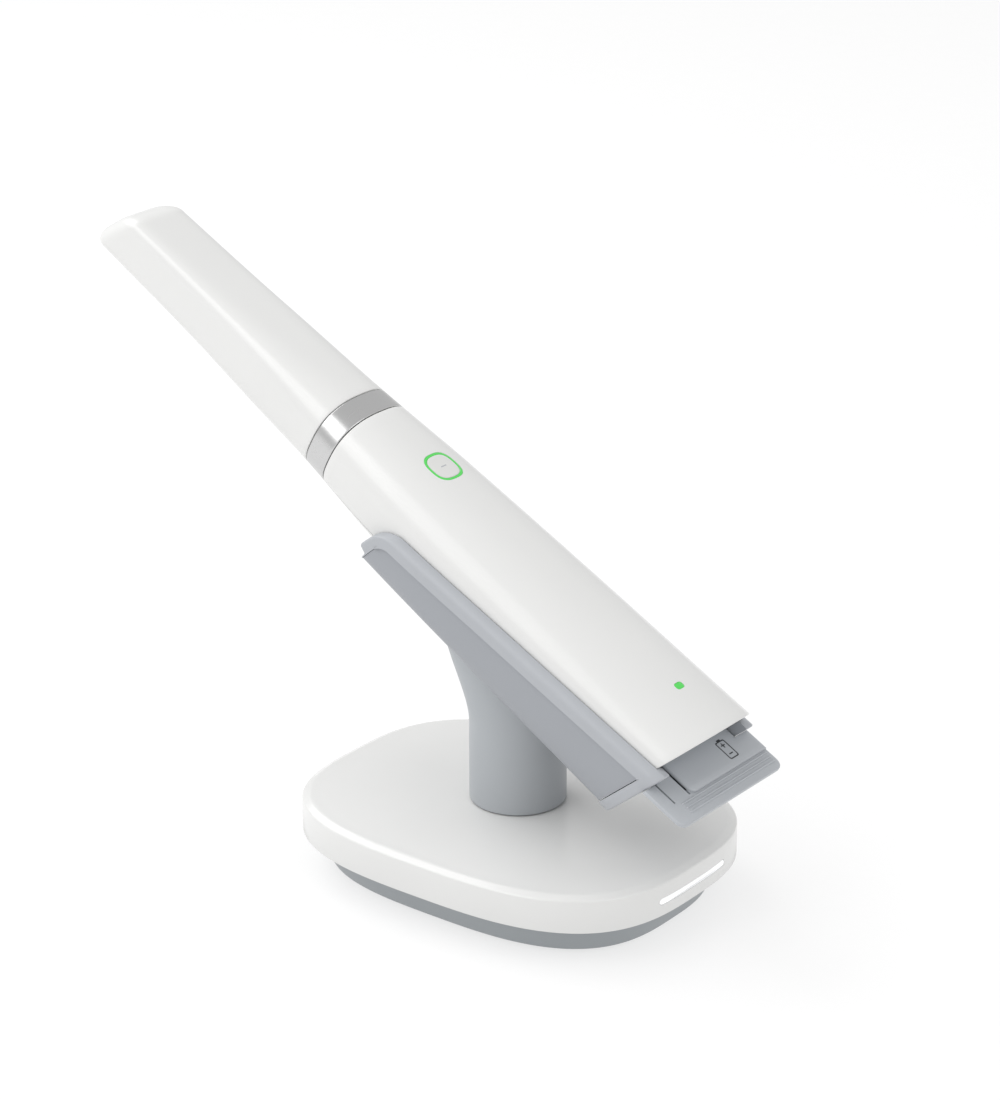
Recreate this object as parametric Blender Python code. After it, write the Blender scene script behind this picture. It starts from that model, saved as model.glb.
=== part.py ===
# Wireless intraoral scanner resting in its charging stand.
# World frame: origin at the centre of the stand's underside, +Z up, +X towards the battery end of the handpiece.
# Handpiece frame: x along the handpiece from tip to battery, y across, z out of its top face.

import math
from collections import namedtuple

import bpy
import bmesh
from mathutils import Matrix, Vector

MM = 0.001

# Clearances
GAP = 0.3 * MM
SLIDE_GAP = 0.4 * MM
CUTTER_REACH = 3.0 * MM

# Handpiece placing in the stand
LEAN = math.radians(28.5)
AXIS_HEIGHT = 105.8 * MM

# Handpiece form: one section at each of these places along it
Section = namedtuple("Section", "along half_width top bottom widest top_power bottom_power")
TIP_FRONT = -184.0 * MM
RING_FRONT = -77.5 * MM
RING_LENGTH = 8.6 * MM
TAIL_END = 81.7 * MM
SECTIONS = (
    Section(TIP_FRONT, 12.0 * MM, 8.8 * MM, -9.4 * MM, -0.4 * MM, 6.5, 6.5),
    Section(-135.0 * MM, 13.4 * MM, 8.8 * MM, -12.2 * MM, -1.7 * MM, 4.8, 4.8),
    Section(-100.0 * MM, 15.6 * MM, 9.7 * MM, -15.8 * MM, -3.0 * MM, 3.2, 3.2),
    Section(RING_FRONT, 17.3 * MM, 10.4 * MM, -18.0 * MM, -3.8 * MM, 2.6, 2.6),
    Section(-40.0 * MM, 20.6 * MM, 11.0 * MM, -21.2 * MM, -4.6 * MM, 2.4, 2.7),
    Section(20.0 * MM, 22.3 * MM, 10.8 * MM, -21.6 * MM, -2.6 * MM, 2.25, 3.0),
    Section(TAIL_END, 23.0 * MM, 10.2 * MM, -21.6 * MM, -0.9 * MM, 2.1, 3.2),
)
RING_POINTS = 36
TIP_STATIONS = 6
HOUSING_STATIONS = 7

# Scan tip
TIP_WALL = 1.6 * MM
TIP_END_SLOPE = 0.6
TIP_SLOPE_FADE = 34.0 * MM
TIP_END_ROUND = 6.0 * MM
WINDOW_LENGTH = 17.0 * MM
WINDOW_HALF_WIDTH = 8.4 * MM
WINDOW_CORNER = 2.5 * MM
WINDOW_SETBACK = 0.6 * MM
MIRROR_THICKNESS = 1.1 * MM
MIRROR_SLOPE = 1.0

# Nose that carries the tip
NOSE_LENGTH = 44.0 * MM
NOSE_INSET = 3.2 * MM
NOSE_WALL = 1.5 * MM
NOSE_TAIL = 9.0 * MM
SEAL_WIDTH = 2.2 * MM
SEAL_SETBACK = 6.0 * MM
NOSE_GLASS = 1.5 * MM
NOSE_GLASS_SETBACK = 1.0 * MM

# Handle housing
SHELL_WALL = 2.2 * MM
SPLIT_LEVEL = -14.0 * MM
CUT_SLOPE = 0.415
CUT_FADE = 60.0 * MM

# Button, its light ring and the status light
BUTTON_ALONG = -39.9 * MM
RING_LIGHT_HALF = Vector((6.2 * MM, 5.6 * MM))
RING_LIGHT_CORNER = 3.8 * MM
RING_LIGHT_WIDTH = 1.1 * MM
TRIM_DEPTH = 2.6 * MM
BUTTON_CAP = 2.2 * MM
BUTTON_TRAVEL = 0.5 * MM
PLUNGER_RADIUS = 1.7 * MM
PLUNGER_LENGTH = 3.4 * MM
CONTROL_HOLE_DEPTH = 8.0 * MM
SWITCH_HALF = 3.0 * MM
SWITCH_CORNER = 0.4 * MM
STATUS_ALONG = 65.8 * MM
STATUS_HALF = Vector((1.2 * MM, 1.8 * MM))
STATUS_CORNER = 0.9 * MM

# Frame, board and optics inside the handle
CHASSIS_PACK_GAP = 3.6 * MM
CHASSIS_HALF_WIDTH = 13.0 * MM
CHASSIS_TOP = -11.5 * MM
CHASSIS_THICKNESS = 1.8 * MM
POST_RADIUS = 2.6 * MM
POST_SIDE = 6.0 * MM
POST_FRONT_INSET = 5.6 * MM
POST_REAR_INSET = 10.4 * MM
OPTICS_LENGTH = 14.0 * MM
OPTICS_HALF_WIDTH = 14.5 * MM
OPTICS_HEIGHT = 12.0 * MM
MODULE_SPACING = 9.2 * MM
CAMERA_RADIUS = 3.6 * MM
PROJECTOR_RADIUS = 4.4 * MM
MODULE_LENGTH = 26.0 * MM
BOARD_REAR_INSET = 3.7 * MM
BOARD_HALF_WIDTH = 12.5 * MM
BOARD_LEVEL = -3.0 * MM
BOARD_THICKNESS = 1.6 * MM
STANDOFF_RADIUS = 2.2 * MM
STANDOFF_SIDE = 9.0 * MM
STANDOFF_FRONT_INSET = 3.3 * MM
STANDOFF_REAR_INSET = 5.7 * MM
SCREW_HEAD_RADIUS = 2.1 * MM
SCREW_HEAD_HEIGHT = 1.0 * MM
SCREW_RADIUS = 1.0 * MM
SCREW_LENGTH = 6.0 * MM
SCREW_CLEARANCE = 0.35 * MM
SCREW_SUNK = 0.15 * MM

# Battery pack
PACK_FRONT = 22.0 * MM
PACK_HALF_WIDTH = 17.0 * MM
PACK_BOTTOM = -14.6 * MM
PACK_TOP = 2.2 * MM
PACK_WALL = 1.2 * MM
PACK_CORNER = 3.0 * MM
PACK_EDGE = 0.6 * MM
CELL_RADIUS = 6.8 * MM
CELL_LENGTH = 44.0 * MM
PLUG_LENGTH = 7.0 * MM
PLUG_SETBACK = 0.6 * MM
NECK_HALF_WIDTH = 18.4 * MM
NECK_BOTTOM = -12.0 * MM
NECK_SINK = 2.0 * MM
NECK_REACH = 6.0 * MM
NECK_TUCK = 0.3 * MM
GRIP_OVERHANG = 1.2 * MM
GRIP_TOP = -7.1 * MM
GRIP_THICKNESS = 3.2 * MM
GRIP_EDGE = 1.2 * MM
GRIP_UNDERCUT = 2.4 * MM
GRIP_END = 99.8 * MM
GRIP_CORNER = 3.0 * MM
SHELF_INSET = 0.8 * MM
PLATEAU_TOP = -4.4 * MM
PLATEAU_END = 91.4 * MM
PLATEAU_NEAR = 13.3 * MM
PLATEAU_CORNER = 2.4 * MM
PLATEAU_DRAFT = 0.3 * MM
SLIT_WIDTH = 0.6 * MM
SLIT_DEPTH = 1.0 * MM
SLIT_END = 91.2 * MM
SLIT_SPACING = 8.3 * MM
GRIP_RIBS = (92.9 * MM, 94.6 * MM, 96.3 * MM)
GRIP_RIB_WIDTH = 0.9 * MM
GRIP_RIB_HEIGHT = 0.4 * MM
GRIP_RIB_MARGIN = 1.2 * MM
GRIP_RIB_NEAR_MARGIN = 7.4 * MM
GRIP_RIB_TOP_SHARE = 0.65
TERMINAL_HALF = 2.6 * MM
TERMINAL_THICKNESS = 1.0 * MM
TERMINAL_SIDE = 8.0 * MM
SOCKET_LENGTH = 5.0 * MM
SOCKET_MARGIN = 2.4 * MM

# Cradle
CRADLE_FRONT = -33.5 * MM
LINER_WALL = 1.0 * MM
HOUSING_WALL = 1.2 * MM
HOUSING_STEP = 0.5 * MM
RIM_WIDTH = LINER_WALL + GAP + HOUSING_WALL + HOUSING_STEP
RIM_HEIGHT = 5.0 * MM
RIM_ROUND = 1.3 * MM
RIM_FRONT_DROP = 3.6 * MM
RIM_FRONT_RUN = 6.0 * MM
FLANGE_LENGTH = 4.2 * MM
FLANGE_DRAFT = 0.1 * MM
FLANGE_ROUND = 1.8 * MM
SEAT_STATIONS = 5
SEAT_POINTS = 19
HOUSING_POWER = 4.8
BELLY_FRONT = -25.6 * MM
BELLY_TAIL = -31.6 * MM

# Charging contacts between stand and handpiece
CONTACT_ALONG = 34.0 * MM
CONTACT_PITCH = 5.0 * MM
CONTACT_COUNT = 3
CONTACT_RADIUS = 1.3 * MM
CONTACT_PIN_RADIUS = 0.9 * MM
CONTACT_PIN_TAIL = 0.5 * MM
CONTACT_BLOCK_HALF_LENGTH = 3.0 * MM
CONTACT_BLOCK_MARGIN = 3.0 * MM
CONTACT_BLOCK_HEIGHT = 3.2 * MM
CONTACT_BLOCK_CORNER = 1.0 * MM
CONTACT_BLOCK_DROP = 0.5 * MM

# Stem
STEM_FOOT_RADIUS = 15.8 * MM
STEM_HEAD_CENTRE = 9.0 * MM
STEM_HEAD_HALF_LENGTH = 27.0 * MM
STEM_HEAD_HALF_WIDTH = 15.0 * MM
STEM_WALL = 3.0 * MM
STEM_FOOT_WALL = 8.6 * MM
STEM_FOOT_SHARE = 0.3
STEM_FOOT_STEP = 0.05
STEM_FLARE_START = 0.45
STEM_POINTS = 32

# Base
BASE_HALF_LENGTH = 70.0 * MM
BASE_HALF_WIDTH = 53.2 * MM
BASE_POWER = 2.95
BASE_POINTS = 44
BASE_EDGE_HEIGHT = 24.6 * MM
BASE_CROWN = 2.6 * MM
BASE_TOP = BASE_EDGE_HEIGHT + BASE_CROWN
COVER_BOTTOM = 12.2 * MM
COVER_WALL = 2.4 * MM
COVER_EDGE_RADIUS = 3.4 * MM
COVER_INNER_EDGE = 2.4 * MM
CROWN_FLAT_MARGIN = 1.5 * MM
PAN_BOTTOM = 1.0 * MM
PAN_WALL = 2.2 * MM
PAN_RIM_INSET = 0.5 * MM
PAN_FOOT_INSET = 9.0 * MM
PAN_FOOT_EDGE = 0.9 * MM
PAN_FOOT_BEVEL = 1.7 * MM
PAN_FLOOR_INSET = 24.0 * MM
PAN_BULGE = 1.37
SOLE_INSET = 14.0 * MM
SOLE_EDGE = 0.5 * MM
SOLE_RECESS = 0.9 * MM
BALLAST_INSET = 17.0 * MM
BALLAST_THICKNESS = 7.0 * MM
CHARGE_BOARD_FRONT_INSET = 5.0 * MM
CHARGE_BOARD_REAR_INSET = 12.5 * MM
CHARGE_BOARD_POST_GAP = 1.8 * MM
CHARGE_BOARD_THICKNESS = 1.6 * MM
LIGHT_BAR_HALF = 17.5 * MM
LIGHT_BAR_LEVEL = 17.2 * MM
LIGHT_BAR_HEIGHT = 1.7 * MM
LIGHT_BAR_DEPTH = 4.0 * MM
LIGHT_BOARD_THICKNESS = 1.2 * MM
LIGHT_BOARD_SETBACK = 1.4 * MM
LIGHT_BOARD_HEIGHT = 5.6 * MM
INLET_HALF_WIDTH = 4.5 * MM
INLET_HALF_HEIGHT = 1.6 * MM
INLET_WALL = 0.45 * MM
INLET_LENGTH = 8.0 * MM
INLET_RECESS = 0.6 * MM
INLET_FLAT = 0.05 * MM
INLET_BACK_WALL = 1.0 * MM
TONGUE_SETBACK = 0.8 * MM
TONGUE_HALF_WIDTH = 3.3 * MM
TONGUE_HALF_HEIGHT = 0.35 * MM
BASE_SCREW_END_INSET = 39.0 * MM
BASE_SCREW_SIDE_INSET = 25.7 * MM
BASE_SCREW_LENGTH = 6.0 * MM
BASE_POST_RADIUS = 3.4 * MM
STEM_SCREW_COUNT = 3
STEM_SCREW_LENGTH = 8.0 * MM
WIRE_WAY_RADIUS = 4.5 * MM


# Materials

def material(name, colour, roughness, metallic=0.0, alpha=1.0, glow=0.0):
    mat = bpy.data.materials.new(name)
    mat.use_nodes = True
    shader = mat.node_tree.nodes["Principled BSDF"]
    shader.inputs["Base Color"].default_value = (*colour, 1.0)
    shader.inputs["Roughness"].default_value = roughness
    shader.inputs["Metallic"].default_value = metallic
    shader.inputs["Alpha"].default_value = alpha
    if glow:
        shader.inputs["Emission Color"].default_value = (*colour, 1.0)
        shader.inputs["Emission Strength"].default_value = glow
    mat.diffuse_color = (*colour, alpha)
    return mat


def clear_scene():
    for item in list(bpy.context.scene.objects):
        bpy.data.objects.remove(item, do_unlink=True)


# Outlines

def rounded_rect(half_x, half_y, radius, pieces=4):
    points = []
    for corner, (sx, sy) in enumerate(((1, 1), (-1, 1), (-1, -1), (1, -1))):
        for k in range(pieces + 1):
            angle = math.radians(90.0 * (corner + k / pieces))
            points.append((sx * (half_x - radius) + radius * math.cos(angle),
                           sy * (half_y - radius) + radius * math.sin(angle)))
    return points


def circle(radius, count=24):
    return [(radius * math.cos(2 * math.pi * k / count), radius * math.sin(2 * math.pi * k / count))
            for k in range(count)]


def power_point(half_x, half_y, power, angle):
    c, s = math.cos(angle), math.sin(angle)
    return (half_x * math.copysign(abs(c) ** (2 / power), c),
            half_y * math.copysign(abs(s) ** (2 / power), s))


def base_outline(inset):
    return [power_point(BASE_HALF_LENGTH - inset, BASE_HALF_WIDTH - inset, BASE_POWER, 2 * math.pi * k / BASE_POINTS)
            for k in range(BASE_POINTS)]


def smooth(value):
    value = min(max(value, 0.0), 1.0)
    return value * value * (3.0 - 2.0 * value)


# Handpiece form

def section_at(along):
    last = len(SECTIONS) - 1
    k = 0
    while k < last - 1 and along > SECTIONS[k + 1].along:
        k += 1
    a, b = SECTIONS[k], SECTIONS[k + 1]
    before, after = SECTIONS[max(k - 1, 0)], SECTIONS[min(k + 2, last)]
    span = b.along - a.along
    u = (along - a.along) / span
    if u < 0.0:
        return a._replace(along=along)
    if u > 1.0:
        return b._replace(along=along)
    values = [along]
    for name in Section._fields[1:]:
        p, q = getattr(a, name), getattr(b, name)
        slope_a = (q - getattr(before, name)) / (b.along - before.along) * span
        slope_b = (getattr(after, name) - p) / (after.along - a.along) * span
        values.append(p * (2 * u**3 - 3 * u**2 + 1) + slope_a * (u**3 - 2 * u**2 + u)
                      + q * (3 * u**2 - 2 * u**3) + slope_b * (u**3 - u**2))
    return Section(*values)


def section_point(along, angle, inset):
    s = section_at(along)
    if math.sin(angle) >= 0.0:
        y, z = power_point(s.half_width - inset, s.top - s.widest - inset, s.top_power, angle)
    else:
        y, z = power_point(s.half_width - inset, s.widest - s.bottom - inset, s.bottom_power, angle)
    return y, z + s.widest


def form_point(along, angle, inset, slope):
    """Point of the handpiece's skin in the plane through `along` that leans by `slope`."""
    y, z = section_point(along, angle, inset)
    for _ in range(4):
        y, z = section_point(along + slope * z, angle, inset)
    return along + slope * z, y, z


def form_ring(along, inset, slope=0.0):
    return [form_point(along, 2 * math.pi * k / RING_POINTS, inset, slope) for k in range(RING_POINTS)]


def angle_at_level(along, level, inset, slope):
    """Angle under the widest line, on the +y side, at which the skin reaches a height."""
    low, high = -math.pi / 2, 0.0
    for _ in range(40):
        mid = (low + high) / 2
        if form_point(along, mid, inset, slope)[2] < level:
            low = mid
        else:
            high = mid
    return (low + high) / 2


def arc_points(along, start, stop, count, inset, slope):
    return [form_point(along, start + (stop - start) * k / (count - 1), inset, slope) for k in range(count)]


def skin_height(along, y, inset=0.0, upper=True):
    """Height of the handpiece's skin over a point, on its upper or lower side."""
    s = section_at(along)
    rise = (s.top - s.widest if upper else s.widest - s.bottom) - inset
    power = s.top_power if upper else s.bottom_power
    share = min(abs(y) / (s.half_width - inset), 1.0)
    height = rise * (1.0 - share**power) ** (1.0 / power)
    return s.widest + height if upper else s.widest - height


def tip_slope(along):
    return TIP_END_SLOPE * (1.0 - smooth((along - TIP_FRONT) / TIP_SLOPE_FADE))


def tail_slope(along):
    return CUT_SLOPE * smooth((along - (TAIL_END - CUT_FADE)) / CUT_FADE)


def steps(start, stop, count):
    return [start + (stop - start) * k / (count - 1) for k in range(count)]


# Solids

def add_object(name, bm, mat, parent=None, origin=(0.0, 0.0, 0.0), sharp=35.0):
    bmesh.ops.translate(bm, verts=bm.verts, vec=-Vector(origin))
    bmesh.ops.recalc_face_normals(bm, faces=bm.faces)
    mesh = bpy.data.meshes.new(name)
    bm.to_mesh(mesh)
    bm.free()
    mesh.shade_smooth()
    mesh.set_sharp_from_angle(angle=math.radians(sharp))
    mesh.materials.append(mat)
    item = bpy.data.objects.new(name, mesh)
    item.location = origin
    item.parent = parent
    bpy.context.scene.collection.objects.link(item)
    return item


def skin(rings, closed=False):
    """Mesh through rings of equally many points: open ends are capped, a closed row joins its ends."""
    bm = bmesh.new()
    rows = [[bm.verts.new(p) for p in ring] for ring in rings]
    count = len(rows[0])
    pairs = list(zip(rows, rows[1:]))
    if closed:
        pairs.append((rows[-1], rows[0]))
    for near, far in pairs:
        for k in range(count):
            bm.faces.new((near[k], near[(k + 1) % count], far[(k + 1) % count], far[k]))
    if not closed:
        bm.faces.new(rows[0])
        bm.faces.new(rows[-1])
    return bm


def loft(name, rings, mat, parent=None, closed=False, origin=(0.0, 0.0, 0.0), sharp=35.0):
    return add_object(name, skin(rings, closed), mat, parent, origin, sharp)


def ring_at(outline, level):
    return [(x, y, level) for x, y in outline]


def prism(name, outline, low, high, mat, parent=None, centre=(0.0, 0.0)):
    rings = [[(x + centre[0], y + centre[1], z) for x, y in outline] for z in (low, high)]
    return loft(name, rings, mat, parent, origin=(centre[0], centre[1], low))


def rod_x(name, radius, start, stop, y, z, mat, parent, count=20):
    rings = [[(x, y + a, z + b) for a, b in circle(radius, count)] for x in (start, stop)]
    return loft(name, rings, mat, parent, origin=(start, y, z))


def block(name, low, high, mat, parent=None):
    outline = [(low[0], low[1]), (high[0], low[1]), (high[0], high[1]), (low[0], high[1])]
    return loft(name, [ring_at(outline, low[2]), ring_at(outline, high[2])], mat, parent, origin=low)


def combine(target, tool, operation):
    modifier = target.modifiers.new(operation.lower(), "BOOLEAN")
    modifier.operation = operation
    modifier.solver = "EXACT"
    modifier.object = tool
    tool.hide_render = True
    tool.display_type = "WIRE"


def cut(target, *tools):
    for tool in tools:
        combine(target, tool, "DIFFERENCE")


def join(target, *tools):
    for tool in tools:
        combine(target, tool, "UNION")


# Scan tip

def tip_end_rings(inset):
    """Rings of the tip's rounded end, at a depth under its outer skin."""
    rings = []
    for turn in steps(0.0, math.pi / 2, 5):
        radius = TIP_END_ROUND - inset
        along = TIP_FRONT + inset * math.hypot(1.0, TIP_END_SLOPE) + radius * (1.0 - math.cos(turn))
        rings.append(form_ring(along, inset + radius * (1.0 - math.sin(turn)), TIP_END_SLOPE))
    return rings


def build_tip(frame, white, mirror):
    tip_rear = RING_FRONT - GAP
    stations = steps(TIP_FRONT + TIP_END_ROUND, tip_rear, TIP_STATIONS)[1:]
    outer = tip_end_rings(0.0) + [form_ring(x, 0.0, tip_slope(x)) for x in stations]
    inner = tip_end_rings(TIP_WALL) + [form_ring(x, TIP_WALL, tip_slope(x)) for x in stations]
    tip = loft("scan_tip", outer + inner[::-1], white, frame, origin=(tip_rear, 0.0, 0.0))

    floor = section_at(TIP_FRONT).bottom + TIP_WALL
    flat_start = TIP_FRONT + TIP_WALL * math.hypot(1.0, TIP_END_SLOPE) + TIP_END_ROUND - TIP_WALL
    mirror_front = flat_start + (TIP_END_SLOPE - MIRROR_SLOPE) * floor + GAP
    rings = [form_ring(x, TIP_WALL + GAP, MIRROR_SLOPE) for x in (mirror_front, mirror_front + MIRROR_THICKNESS)]
    loft("tip_mirror", rings, mirror, frame, origin=(mirror_front, 0.0, 0.0))

    window_front = mirror_front + MIRROR_THICKNESS + MIRROR_SLOPE * floor + WINDOW_SETBACK
    hole = prism("tip_window_hole", rounded_rect(WINDOW_LENGTH / 2, WINDOW_HALF_WIDTH, WINDOW_CORNER),
                 floor - 2 * TIP_WALL - CUTTER_REACH, floor + TIP_WALL, white, frame,
                 centre=(window_front + WINDOW_LENGTH / 2, 0.0))
    cut(tip, hole)


# Nose, trim ring and seal

def build_nose(frame, black, silver, rubber, glass):
    nose_front = RING_FRONT - NOSE_LENGTH
    nose_rear = RING_FRONT + RING_LENGTH + NOSE_TAIL
    stations = steps(nose_front, nose_rear, 3)
    outer = [form_ring(x, NOSE_INSET) for x in stations]
    inner = [form_ring(x, NOSE_INSET + NOSE_WALL) for x in reversed(stations)]
    loft("optics_nose", outer + inner, black, frame, closed=True, origin=(nose_front, 0.0, 0.0))

    stations = (RING_FRONT, RING_FRONT + RING_LENGTH)
    outer = [form_ring(x, 0.0) for x in stations]
    inner = [form_ring(x, NOSE_INSET - GAP) for x in reversed(stations)]
    loft("trim_ring", outer + inner, silver, frame, closed=True, origin=(RING_FRONT, 0.0, 0.0))

    seal_rear = RING_FRONT - SEAL_SETBACK
    stations = (seal_rear - SEAL_WIDTH, seal_rear)
    outer = [form_ring(x, TIP_WALL + GAP) for x in stations]
    inner = [form_ring(x, NOSE_INSET - GAP) for x in reversed(stations)]
    loft("tip_seal", outer + inner, rubber, frame, closed=True, origin=(seal_rear, 0.0, 0.0))

    glass_front = nose_front + NOSE_GLASS_SETBACK
    rings = [form_ring(x, NOSE_INSET + NOSE_WALL + GAP) for x in (glass_front, glass_front + NOSE_GLASS)]
    loft("nose_window", rings, glass, frame, origin=(glass_front, 0.0, 0.0))


# Handle housing

def shell_profile(along, slope, level, upper):
    """One closed outline of a housing half: outer skin out, inner skin back."""
    points = []
    for inset, backwards in ((0.0, False), (SHELL_WALL, True)):
        start = angle_at_level(along, level, inset, slope)
        if upper:
            arc = arc_points(along, start, math.pi - start, 29, inset, slope)
        else:
            arc = arc_points(along, start, -math.pi - start, 13, inset, slope)
        points += list(reversed(arc)) if backwards else arc
    return points


def build_housing(frame, white):
    front = RING_FRONT + RING_LENGTH + GAP
    stations = steps(front, TAIL_END, HOUSING_STATIONS)
    upper = [shell_profile(x, tail_slope(x), SPLIT_LEVEL + GAP / 2, True) for x in stations]
    top = loft("upper_housing", upper, white, frame, origin=(front, 0.0, 0.0))
    lower = [shell_profile(x, tail_slope(x), SPLIT_LEVEL - GAP / 2, False) for x in stations]
    bottom = loft("belly_cover", lower, white, frame, origin=(front, 0.0, 0.0))
    return top, bottom


def surface_patch(outline, centre, offset):
    return [(centre + x, y, skin_height(centre + x, y) - offset) for x, y in outline]


def scaled(outline, share):
    return [(x * share, y * share) for x, y in outline]


def build_controls(frame, housing, white, green, black):
    def ring_outline(grow):
        return rounded_rect(RING_LIGHT_HALF.x + grow, RING_LIGHT_HALF.y + grow, RING_LIGHT_CORNER + grow, 6)

    def control_hole(name, outline, along):
        top = skin_height(along, 0.0)
        cut(housing, prism(name, outline, top - CONTROL_HOLE_DEPTH, top + CUTTER_REACH, white, frame, (along, 0.0)))

    control_hole("button_hole", ring_outline(GAP), BUTTON_ALONG)
    control_hole("status_hole", rounded_rect(STATUS_HALF.x + GAP, STATUS_HALF.y + GAP, STATUS_CORNER + GAP, 3),
                 STATUS_ALONG)

    top = skin_height(BUTTON_ALONG, 0.0)
    outer, inner = ring_outline(0.0), ring_outline(-RING_LIGHT_WIDTH)
    rings = [surface_patch(outline, BUTTON_ALONG, depth)
             for outline, depth in ((outer, 0.0), (outer, TRIM_DEPTH), (inner, TRIM_DEPTH), (inner, 0.0))]
    loft("button_light_ring", rings, green, frame, closed=True, origin=(BUTTON_ALONG, 0.0, top))

    outline = rounded_rect(STATUS_HALF.x, STATUS_HALF.y, STATUS_CORNER, 3)
    rings = [surface_patch(outline, STATUS_ALONG, depth) for depth in (0.0, TRIM_DEPTH)]
    loft("status_light", rings, green, frame, origin=(STATUS_ALONG, 0.0, skin_height(STATUS_ALONG, 0.0)))

    cap = ring_outline(-RING_LIGHT_WIDTH - GAP)
    underside = top - BUTTON_CAP
    plunger = [(PLUNGER_RADIUS * x / math.hypot(x, y), PLUNGER_RADIUS * y / math.hypot(x, y)) for x, y in cap]
    rings = [surface_patch(scaled(cap, share), BUTTON_ALONG, 0.0) for share in steps(1 / 3, 1.0, 3)]
    for outline, level in ((cap, underside), (plunger, underside), (plunger, underside - PLUNGER_LENGTH)):
        rings.append([(BUTTON_ALONG + x, y, level) for x, y in outline])
    loft("scan_button", rings, white, frame, origin=(BUTTON_ALONG, 0.0, top))

    switch_top = underside - PLUNGER_LENGTH - BUTTON_TRAVEL - GAP
    prism("button_switch", rounded_rect(SWITCH_HALF, SWITCH_HALF, SWITCH_CORNER, 2),
          BOARD_LEVEL + BOARD_THICKNESS + GAP, switch_top, black, frame, (BUTTON_ALONG, 0.0))


# Frame, optics and board inside the handle

def screw(name, head_low, mat, parent, x, y, length):
    """Pan-head screw whose shank points up from its head."""
    levels = ((SCREW_HEAD_RADIUS, 0.0), (SCREW_HEAD_RADIUS, SCREW_HEAD_HEIGHT),
              (SCREW_RADIUS, SCREW_HEAD_HEIGHT), (SCREW_RADIUS, SCREW_HEAD_HEIGHT + length))
    rings = [[(x + a, y + b, head_low + z) for a, b in circle(radius, 10)] for radius, z in levels]
    loft(name, rings, mat, parent, origin=(x, y, head_low))


def build_belly_screw(number, frame, chassis, belly, metal, steel, x, y):
    """Post of the chassis, with the bore, the seat and the screw that hold the belly cover to it."""
    inner_skin = skin_height(x, abs(y) + POST_RADIUS, SHELL_WALL, upper=False)
    outer_skin = skin_height(x, y, upper=False)
    head_low = outer_skin + SCREW_SUNK
    post = prism(f"chassis_post_{number}", circle(POST_RADIUS, 16), inner_skin + GAP,
                 CHASSIS_TOP - CHASSIS_THICKNESS / 2, metal, frame, (x, y))
    join(chassis, post)
    bore = prism(f"belly_bore_{number}", circle(SCREW_RADIUS + SCREW_CLEARANCE, 10), outer_skin - CUTTER_REACH,
                 CHASSIS_TOP + CUTTER_REACH, metal, frame, (x, y))
    seat = prism(f"belly_seat_{number}", circle(SCREW_HEAD_RADIUS + SCREW_CLEARANCE, 12), outer_skin - CUTTER_REACH,
                 head_low + SCREW_HEAD_HEIGHT + GAP, metal, frame, (x, y))
    cut(chassis, bore)
    cut(belly, bore, seat)
    screw(f"belly_screw_{number}", head_low, steel, frame, x, y, SCREW_LENGTH)


def build_inside(frame, belly, metal, board_green, dark, steel, brass, lens):
    front = RING_FRONT + RING_LENGTH + NOSE_TAIL + GAP
    rear = PACK_FRONT - CHASSIS_PACK_GAP
    chassis = block("chassis", (front, -CHASSIS_HALF_WIDTH, CHASSIS_TOP - CHASSIS_THICKNESS),
                    (rear, CHASSIS_HALF_WIDTH, CHASSIS_TOP), metal, frame)
    posts = [(x, y) for x in (front + POST_FRONT_INSET, rear - POST_REAR_INSET) for y in (-POST_SIDE, POST_SIDE)]
    for number, (x, y) in enumerate(posts, 1):
        build_belly_screw(number, frame, chassis, belly, metal, steel, x, y)

    holder_low = CHASSIS_TOP + GAP
    holder_rear = front + OPTICS_LENGTH
    holder = block("optics_holder", (front, -OPTICS_HALF_WIDTH, holder_low),
                   (holder_rear, OPTICS_HALF_WIDTH, holder_low + OPTICS_HEIGHT), metal, frame)
    level = holder_low + OPTICS_HEIGHT / 2
    modules = (("camera_module_left", -MODULE_SPACING, CAMERA_RADIUS, lens),
               ("projector_module", 0.0, PROJECTOR_RADIUS, dark),
               ("camera_module_right", MODULE_SPACING, CAMERA_RADIUS, lens))
    for name, y, radius, mat in modules:
        bore = rod_x(f"{name}_bore", radius + GAP, front - CUTTER_REACH, holder_rear + CUTTER_REACH, y, level, metal,
                     frame)
        cut(holder, bore)
        rod_x(name, radius, holder_rear - MODULE_LENGTH, holder_rear, y, level, mat, frame)

    board_front = holder_rear + GAP
    board_rear = rear - BOARD_REAR_INSET
    block("main_board", (board_front, -BOARD_HALF_WIDTH, BOARD_LEVEL),
          (board_rear, BOARD_HALF_WIDTH, BOARD_LEVEL + BOARD_THICKNESS), board_green, frame)
    standoffs = [(x, y) for x in (board_front + STANDOFF_FRONT_INSET, board_rear - STANDOFF_REAR_INSET)
                 for y in (-STANDOFF_SIDE, STANDOFF_SIDE)]
    for number, place in enumerate(standoffs, 1):
        prism(f"board_standoff_{number}", circle(STANDOFF_RADIUS, 6), CHASSIS_TOP + GAP, BOARD_LEVEL - GAP, brass,
              frame, place)


# Battery pack

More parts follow.
